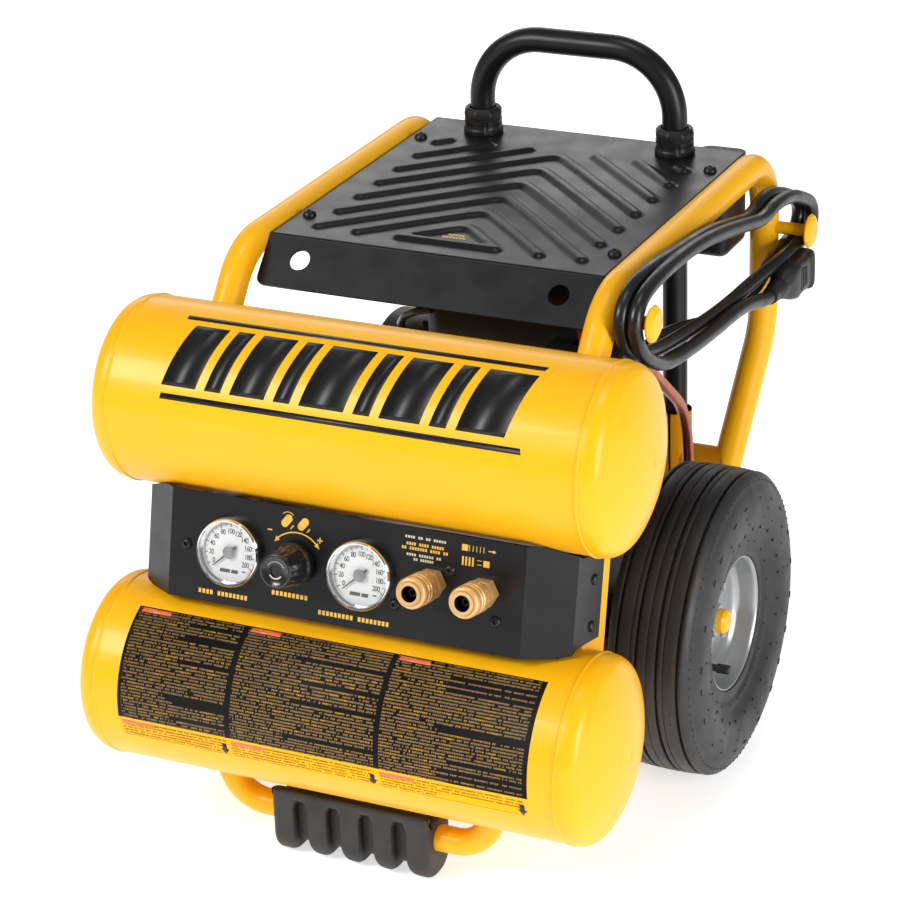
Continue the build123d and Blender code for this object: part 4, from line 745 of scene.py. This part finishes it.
for x, y in ((-9.6, 32.3), (4.8, 31.6)):
    tilt = Matrix.Rotation(radians(52), 2)
    pill = [(px + PILL_HALF, py) for px, py in ring_loop(PILL_R, 14, 0, 0, -pi / 2, pi / 2)]
    pill += [(px - PILL_HALF, py) for px, py in ring_loop(PILL_R, 14, 0, 0, pi / 2, 3 * pi / 2)]
    gold.append([tuple(tilt @ Vector(point) + Vector((x, y))) for point in pill])
    gold.append([tuple(tilt @ Vector(point) + Vector((x + 4.8, y - 4.4))) for point in STALK])
gold.append(band_loop(6.4, 5.8, 14, radians(40), radians(140), -8.8, 33.4))


def dashes(x, y, width, height, count, gaps=()):
    """Row of plain bars in place of a line of lettering."""
    pitch = width / count
    return [bar_loop(x + k * pitch, y, pitch * 0.68, height) for k in range(count) if k not in gaps]


# left, low, width, height, number of bars, bars left out
CAPTIONS = [(-125.5, -34.6, 44.5, 3.6, 13, (4,)), (-60.5, -25.6, 32.5, 3.6, 9, ()),
            (-19, -34.8, 62, 3.6, 18, (9,)), (53, 33.2, 32, 2.3, 15, (4, 9)),
            (49.2, 29.6, 39.5, 2.3, 18, (2, 10, 15))]
PALE_CAPTIONS = [(51.6, 38.6, 35, 2.0, 16, (4, 7, 10)), (59.8, 21.4, 17, 2.0, 9, (2,)),
                 (53.6, 24.8, 29.5, 2.0, 14, (4, 11))]
for x, y, *rest in CAPTIONS:
    gold += dashes(x - KNOB_X, y - GAUGE_S, *rest)
ivory = [bar for caption in PALE_CAPTIONS for bar in dashes(*caption)]
ICON_X, ICON_S = 99.5, 36.0
icon = [bar_loop(ICON_X, ICON_S, 5.0, 5.0), bar_loop(ICON_X + 22, ICON_S + 2.1, 4.0, 0.8)]
icon += [bar_loop(ICON_X + 6 + k * 3.0, ICON_S + 0.2, 0.5, 4.6) for k in range(5)]
icon += [[(ICON_X + 26, ICON_S + 4.0), (ICON_X + 26, ICON_S + 1.0), (ICON_X + 28.6, ICON_S + 2.5)]]
icon += [bar_loop(ICON_X + 0.6 + k * 2.8, ICON_S - 11.4, 1.5, 7.0) for k in range(4)]
icon += [bar_loop(ICON_X + 18.5, ICON_S - 10.4, 5.0, 5.0), bar_loop(ICON_X + 13, ICON_S - 6.3, 4.2, 0.5)]
icon += [bar_loop(ICON_X + 13, ICON_S - 9.6, 4.2, 0.5)]
gold += [[(x - KNOB_X, y - GAUGE_S) for x, y in loop] for loop in icon]
sheet("console_print_gold", gold, panel(KNOB_X, GAUGE_S), 0.07, "decal_gold", "frame")
sheet("console_print_pale", ivory, panel(0, 0), 0.07, "decal_pale", "frame")

# ---------------------------------------------------------------- regulator knob
KNOB_FLUTES = 10


def fluted(angle, height):
    """Long finger grooves down the knob's barrel."""
    fade = max(0.0, min(1.0, (height - 9) / 4)) * max(0.0, min(1.0, (34 - height) / 3))
    return 1 - 0.05 * fade * max(0.0, cos(KNOB_FLUTES * angle)) ** 2


knob = Build()
outline = soften([(4.1, 5.1), (17.4, 5.1), (17.4, 9.5), (16.6, 11), (16.2, 12), (15.8, 16), (15.2, 22),
                  (14.4, 28), (13.8, 32), (13.2, 34.8), (11.4, 35), (10.6, 34.2)], 0.6)
knob.spin(panel(KNOB_X, GAUGE_S), outline + [(5.4, 34.0), (4.9, 33.2), (4.9, 32.2), (0, 32.2)], 112, fluted)
knob.spin(panel(KNOB_X, GAUGE_S), [(4.1, 5.1), (4.1, 24), (0, 24)], 112)
knob.done("regulator_knob_moulding", "black_gloss", "regulator_knob", replaces=["regulator_knob"], crease=50)
TOOTH = ((8.9, -0.06), (8.9, 0.06), (7.3, 0.05), (7.3, -0.05))
loops = []
for k in range(-5, 6):
    middle = pi / 2 - k * 0.2
    loops.append([(r * cos(middle + turn), r * sin(middle + turn)) for r, turn in TOOTH])
smile = ring_loop(6.4, 16, 0, 0, radians(215), radians(325))
smile += ring_loop(5.5, 16, 0, 0.2, radians(215), radians(325))[::-1]
sheet("regulator_knob_print", loops + [smile], panel(KNOB_X, GAUGE_S), 34.05, "decal_pale", "regulator_knob")

# ---------------------------------------------------------------- quick couplers
SLEEVE_RING = [(9.1, 16), (11.8, 16), (12.6, 17), (12.6, 27.5), (11.9, 28), (11.9, 29), (12.6, 29.5),
               (12.6, 32), (11.9, 32.5), (11.9, 33.5), (12.6, 34), (12.6, 39), (12.0, 40.6), (11.0, 41.4),
               (9.1, 41.4)]
COUPLER_MOUTH = [(6.45, 42.6), (6.3, 42.6), (6.2, 41.8), (6.2, 21), (0, 21), (0, 20.5), (6.45, 20.5)]
for label, x in zip(("left", "right"), COUPLER_X):
    base = panel(x, COUPLER_S)
    sleeve = Build()
    sleeve.spin(base, soften(SLEEVE_RING, 0.35, closed=True), 72, loop=True)
    for k in range(10):
        angle = 2 * pi * k / 10
        pip = base @ Matrix.Translation((12.35 * cos(angle), 12.35 * sin(angle), 21.5))
        sleeve.spin(pip @ Matrix.Rotation(angle, 4, "Z") @ Matrix.Rotation(pi / 2, 4, "Y"),
                    [(1.3, 0), (1.1, 0.35), (0.6, 0.55), (0, 0.6)], 14)
    sleeve.done(f"{label}_sleeve_turned", "brass", f"{label}_sleeve", replaces=[f"{label}_sleeve"])

liners = Build()
for x in COUPLER_X:
    liners.spin(panel(x, COUPLER_S), COUPLER_MOUTH, 48)
    liners.spin(panel(x, COUPLER_S), [(0, 20.6), (3.4, 20.6), (3.4, 36), (2.0, 36), (1.8, 30), (0, 30)], 32)
liners.done("coupler_mouth_liners", "black_steel", "frame")

# ---------------------------------------------------------------- handle collars
COLLAR_RING = [(11.15, 0.3), (17.2, 0.3), (17.6, 1.2), (17.6, 4.4), (16.9, 5.2), (16.6, 5.8), (16.6, 9.0),
               (15.7, 9.3), (15.7, 10.1), (16.6, 10.4), (16.6, 13.4), (15.7, 13.7), (15.7, 14.6),
               (16.6, 15.0), (17.0, 19.5), (16.2, 21.2), (14.0, 23.8), (13.0, 24), (12.2, 23.6), (11.15, 21)]


def castle(angle, height):
    """Eight-sided crown above a round, slotted skirt."""
    crown = max(0.0, min(1.0, (height - 14) / 2))
    facet = cos(pi / 8) / cos((angle % (pi / 4)) - pi / 8)
    slot = 0.03 if 4 < height < 13 and (angle % (pi / 3)) < 0.09 else 0.0
    return (1 - crown) * (1 - slot) + crown * facet * 1.045


for label, side in SIDES:
    base = upright(side * HANDLE_X, HANDLE_Y, PLATE_TOP)
    collar = Build()
    collar.spin(base, COLLAR_RING, 96, castle, loop=True)
    collar.done(f"{label}_collar_moulding", "black_plastic", f"{label}_collar", replaces=[f"{label}_collar"])

# ---------------------------------------------------------------- tyres, rims and valves
TREAD_CUTS = [(-26.5, 1.4, 3.6), (-14.5, 0.5, 0.9), (-9.0, 1.4, 3.6), (0.0, 0.45, 0.8), (9.0, 1.4, 3.6),
              (14.5, 0.5, 0.9), (26.5, 1.4, 3.6)]
TREAD_CURVE = 0.0016
SIDEWALL = [(56.6, 27.6), (58.2, 30.4), (61.5, 31.2), (66, 30.2), (68, 30.6), (69.5, 32.2), (72.5, 32.8),
            (76, 34.2), (80, 37.0), (84, 39.0), (90, 40.6), (96, 41.2), (103, 41.3), (109, 40.6),
            (114, 39.3), (118, 37.6), (121.5, 35.6), (123.2, 35.2), (124.6, 34.0), (126.6, 32.4),
            (128.2, 30.4)]
# radius, offset from the middle of the tyre, number round each side, size
SIDE_NUBS = [(122.4, 35.4, 92, (1.3, 1.4, 1.0)), (108.5, 40.9, 22, (1.2, 5.5, 1.1)),
             (92.0, 40.6, 17, (1.0, 1.4, 1.5)), (99.5, 41.2, 13, (1.3, 1.3, 1.6)),
             (84.0, 38.9, 26, (4.6, 1.0, 1.2)), (70.5, 32.5, 22, (1.0, 1.5, 1.3))]
RIM_RING = [(52.4, -27.4), (57.4, -29.0), (57.6, -25.5), (54.5, -24.5), (53.8, -15), (53.8, 20),
            (55.6, 24.5), (57.6, 25.5), (57.6, 29.0), (56.4, 29.8), (54.6, 27.2), (53.4, 21.0),
            (52.2, 14.0), (49.0, 9.6), (44.0, 8.2), (38.0, 8.8), (30.0, 9.8), (22.0, 10.4), (20.0, 11.8),
            (14.2, 12.2), (14.0, 16.0), (8.1, 16.0), (8.1, -37.5), (14.0, -37.5), (14.0, 7.0),
            (43.0, 4.6), (49.8, 5.0), (51.0, -15.0)]
VALVE = [(0, 6), (5.4, 6), (5.4, 9.6), (3.4, 11.4), (2.9, 18), (4.1, 18.6), (4.1, 28.4), (3.4, 30), (0, 30)]


def knurled(angle, height):
    """Fine ridges round the cap of the valve."""
    return 1 + (0.05 * cos(16 * angle) if 19 < height < 28 else 0.0)


def tyre_outline():
    """Tyre section: from the inner bead round the tread to the outer bead, and back inside."""
    points = [(radius, -offset) for radius, offset in SIDEWALL]
    for middle, width, depth in TREAD_CUTS:
        crown = 129.9 - TREAD_CURVE * middle ** 2
        lips = [(crown, width + 0.8), (crown - 0.3, width), (crown - depth, width * 0.6)]
        points += [(radius, middle - offset) for radius, offset in lips]
        points += [(radius, middle + offset) for radius, offset in reversed(lips)]
    points += SIDEWALL[::-1]
    inside = [(55.6, 24), (55.6, 19), (62, 22), (90, 31), (115, 24)]
    return points + inside + [(118, 0)] + [(radius, -offset) for radius, offset in reversed(inside)]


for label, side in SIDES:
    base = frame_at((side * WHEEL_X, AXLE_Y, AXLE_Z), (side, 0, 0), (0, 0, 1))
    tyre = Build()
    tyre.spin(base, tyre_outline(), 160, loop=True)
    for face in (-1, 1):
        for radius, offset, count, size in SIDE_NUBS:
            for k in range(count):
                angle = 2 * pi * (k + random.uniform(-0.2, 0.2) * (count < 60)) / count
                spot = base @ Matrix.Rotation(angle, 4, "Z") @ Matrix.Translation((radius, 0, face * offset))
                tyre.box(spot, size)
    for k in range(30):
        angle, offset = random.uniform(0, 2 * pi), random.choice((-33, -20, -5, 5, 20, 33))
        reach = 129.6 - TREAD_CURVE * offset ** 2 - (2.3 if abs(offset) > 30 else 0)
        spot = base @ Matrix.Rotation(angle, 4, "Z") @ Matrix.Translation((reach, 0, offset))
        tyre.box(spot, (1.6, 0.8, 0.8))
    tyre.done(f"{label}_tyre_moulding", "tyre", f"{label}_wheel", replaces=[f"{label}_tyre"], crease=40)
    rim = Build()
    rim.spin(base, soften(RIM_RING, 1.4, closed=True), 128, loop=True)
    for k in range(4):
        spot = base @ Matrix.Rotation(pi / 4 + k * pi / 2, 4, "Z") @ Matrix.Translation((31.0, 0, 9.2))
        rim.spin(spot, soften([(5.2, 0), (5.2, 1.2), (4.4, 4.2), (0, 4.2)], 0.4), 6)
    rim.done(f"{label}_rim_pressing", "rim_silver", f"{label}_wheel", replaces=[f"{label}_rim"])
    valve = Build()
    spot = base @ Matrix.Translation((-38.5, side * 12.0, 0))
    valve.spin(spot, soften(VALVE, 0.4), 40, knurled)
    valve.done(f"{label}_valve_stem", "rubber", f"{label}_wheel")

# ---------------------------------------------------------------- rubber foot
FOOT_Y, FOOT_HALF, FOOT_DEPTH, FOOT_TOP, LIP_TOP = -224.0, 70.0, 22.0, 52.0, 61.0
PITCH, GAP, GAP_TOP = 29.3, 12.5, 52.0


def arc(y, z, radius, start, end, steps=8):
    """Points of a rounded corner of the pad with their outward directions."""
    angles = [start + (end - start) * step / steps for step in range(steps + 1)]
    return [(y + radius * cos(a), z + radius * sin(a), (cos(a), sin(a))) for a in angles]


def foot_section():
    """Outline of the pad across its length: round bottom, level top and a raised lip at the front."""
    low_r, edge_r = 19.0, 3.0
    back, front, lip = FOOT_DEPTH, -FOOT_DEPTH, -FOOT_DEPTH + 9.0
    points = arc(back - edge_r, FOOT_TOP - edge_r, edge_r, 0, pi / 2)
    points += [(lip, FOOT_TOP, (0.0, 1.0)), (lip, LIP_TOP - 1.0, (1.0, 0.0))]
    points += arc(front + edge_r, LIP_TOP - edge_r, edge_r, pi / 2, pi)
    span = LIP_TOP - edge_r - low_r
    points += [(front, low_r + span * (1 - step / 10), (-1.0, 0.0)) for step in range(1, 10)]
    points += arc(front + low_r, low_r, low_r, pi, 1.5 * pi)
    points += arc(back - low_r, low_r, low_r, 1.5 * pi, 2 * pi)
    rise = FOOT_TOP - edge_r - low_r
    return points + [(back, low_r + rise * step / 5, (1.0, 0.0)) for step in range(1, 5)]


def rounded_edge(distance, radius):
    """How far a rounded edge falls back, by the distance from that edge."""
    if distance >= radius:
        return 0.0
    return radius - math.sqrt(max(0.0, radius ** 2 - (radius - max(distance, 0.0)) ** 2))


def lip_side(z):
    """Points further back than this belong to the inner side of the lip."""
    return FOOT_DEPTH + 1 if z <= FOOT_TOP + 1 else -FOOT_DEPTH + 5.0


foot = Build()
rows = []
SLOT_DEPTH, STEPS = 9.0, 400
for step in range(STEPS + 1):
    x = -FOOT_HALF + 2 * FOOT_HALF * step / STEPS
    near = min(abs(x - (k - 1.5) * PITCH) for k in range(4))
    row = []
    for y, z, way in foot_section():
        reach = near if z < GAP_TOP - GAP / 2 else math.hypot(near, z - GAP_TOP + GAP / 2)
        edge = reach - GAP / 2
        radius = 2.0 + 6.0 * max(0.0, -way[1])
        back = SLOT_DEPTH if edge < 0 else rounded_edge(edge, radius)
        back = min(back, 6.5 if z > 48 else SLOT_DEPTH) if way[1] < 0.5 and y < lip_side(z) else 0.0
        back = max(back, rounded_edge(FOOT_HALF - abs(x), 6.0))
        row.append((x, FOOT_Y + y - way[0] * back, z - way[1] * back))
    rows.append(row)
foot.solid(rows)
foot.done("foot_moulding", "rubber", "frame", replaces=["foot_pad"], crease=60)



# ---------------------------------------------------------------- copper pipe
def rounded_route(corners, radii, steps=10):
    """Points along straight runs joined by arcs."""
    points = [Vector(corners[0])]
    for before, here, after, radius in zip(corners, corners[1:], corners[2:], radii):
        here = Vector(here)
        back, on = (Vector(before) - here).normalized(), (Vector(after) - here).normalized()
        half = back.angle(on) / 2
        centre = here + (back + on).normalized() * radius / sin(half)
        first, last = here + back * radius / math.tan(half), here + on * radius / math.tan(half)
        for step in range(steps + 1):
            way = (first - centre).slerp(last - centre, step / steps).normalized() * radius
            points.append(centre + way)
    return points + [Vector(corners[-1])]


PIPE_CORNERS = [(125, 62, 417), (138, 62, 417), (138, 22, 372), (138, 150, 266), (138, 157, 188),
                (108, 120, 188), (108, -115, 188)]
PIPE_RADII, PIPE_R = [11, 25, 80, 18, 25], 4.75
pipe = Build()
pipe.tube(rounded_route(PIPE_CORNERS, PIPE_RADII), PIPE_R, 28)
nut = frame_at((113, 62, 417), (1, 0, 0), (0, 1, 0))
pipe.spin(nut, soften([(0, 0), (6.5, 0), (9, 3), (9, 12), (0, 12)], 0.8), 6)
pipe.done("discharge_pipe_bent", "copper", "frame", replaces=["discharge_pipe"])

# ---------------------------------------------------------------- guard and lead over the motor
guard = Build()
outline = [(-18, -6), (-14, -40), (-4, -46), (132, -46), (142, -40), (144, -6)]
top_edge, low_edge = PLATE_TOP - PLATE_T - 0.6, 378.0
bent = soften(outline, 14, steps=6)
guard.grid([[(x, y, z) for x, y in bent] for z in (top_edge, 430.0, 400.0, low_edge)], around=False)
guard.done("pump_guard", "black_plastic", "frame", thick=1.6)
LEAD_POINTS = [(-64, 30, 350), (-58, 4, 366), (-48, -20, 384), (-36, -36, 398), (-22, -42, 406),
               (-8, -44, 410)]
lead_route = []
for first, last in zip(LEAD_POINTS, LEAD_POINTS[1:]):
    lead_route += [Vector(first).lerp(Vector(last), k / 4) for k in range(4)]
lead = Build()
lead.tube(lead_route + [Vector(LEAD_POINTS[-1])], 3.2, 16)
lead.done("motor_lead", "cord_jacket", "frame")

# ---------------------------------------------------------------- plug on the end of the cord
PLUG_BASE = frame_at((196.0, -12.0, 361.0), (0, 1, 0), (1, 0, 0))


def squarish(width, height, y, power=5.0, steps=40):
    """Rounded-square ring across the plug."""
    ring = []
    for k in range(steps):
        a = 2 * pi * k / steps
        c, d = cos(a), sin(a)
        reach = (abs(c) ** power + abs(d) ** power) ** (-1 / power)
        ring.append((width / 2 * c * reach, height / 2 * d * reach, y))
    return ring


# width, height, place along the plug, squareness: the ribbed neck, then the grip and the face plate
PLUG_RINGS = [(14, 14, 208, 2), (15, 15, 212, 2), (15.5, 15.5, 216, 2), (13.5, 13.5, 217, 2),
              (16.5, 16.5, 220, 2), (14.5, 14.5, 221.5, 2), (18, 18, 225, 2), (15.5, 15.5, 226.5, 2),
              (19, 19, 230, 2), (17, 17, 232, 2), (20, 22, 236, 2.5), (23, 27, 240, 3), (25, 31, 245, 4),
              (26, 34, 252, 5), (25, 33, 258, 5), (24.5, 32.5, 266, 5), (26, 34, 274, 5), (26, 34, 281, 5),
              (29, 36.5, 282, 6), (29.2, 36.8, 284, 6), (28.6, 36.2, 286, 6)]
housing = Build()
housing.solid([squarish(*ring) for ring in PLUG_RINGS], PLUG_BASE)
for k in range(4):
    for face in (-1, 1):
        housing.box(PLUG_BASE, (1.6, 20 - k * 1.5, 1.6), (face * 12.5, 0, 256 + k * 4.2))
plug = housing.done("plug_moulding", "plug_rubber", "frame", replaces=["plug"], crease=55)
prongs = Build()
for x in (-6.4, 6.4):
    prongs.box(PLUG_BASE, (1.6, 6.4, 19), (x, 4.2, 295))
prongs.spin(PLUG_BASE @ Matrix.Translation((0, -7, 285)), [(2.4, 0), (2.4, 19), (1.6, 21), (0, 21)], 24)
blades = prongs.done("plug_blades", "brass", "frame", bevel=0.25)
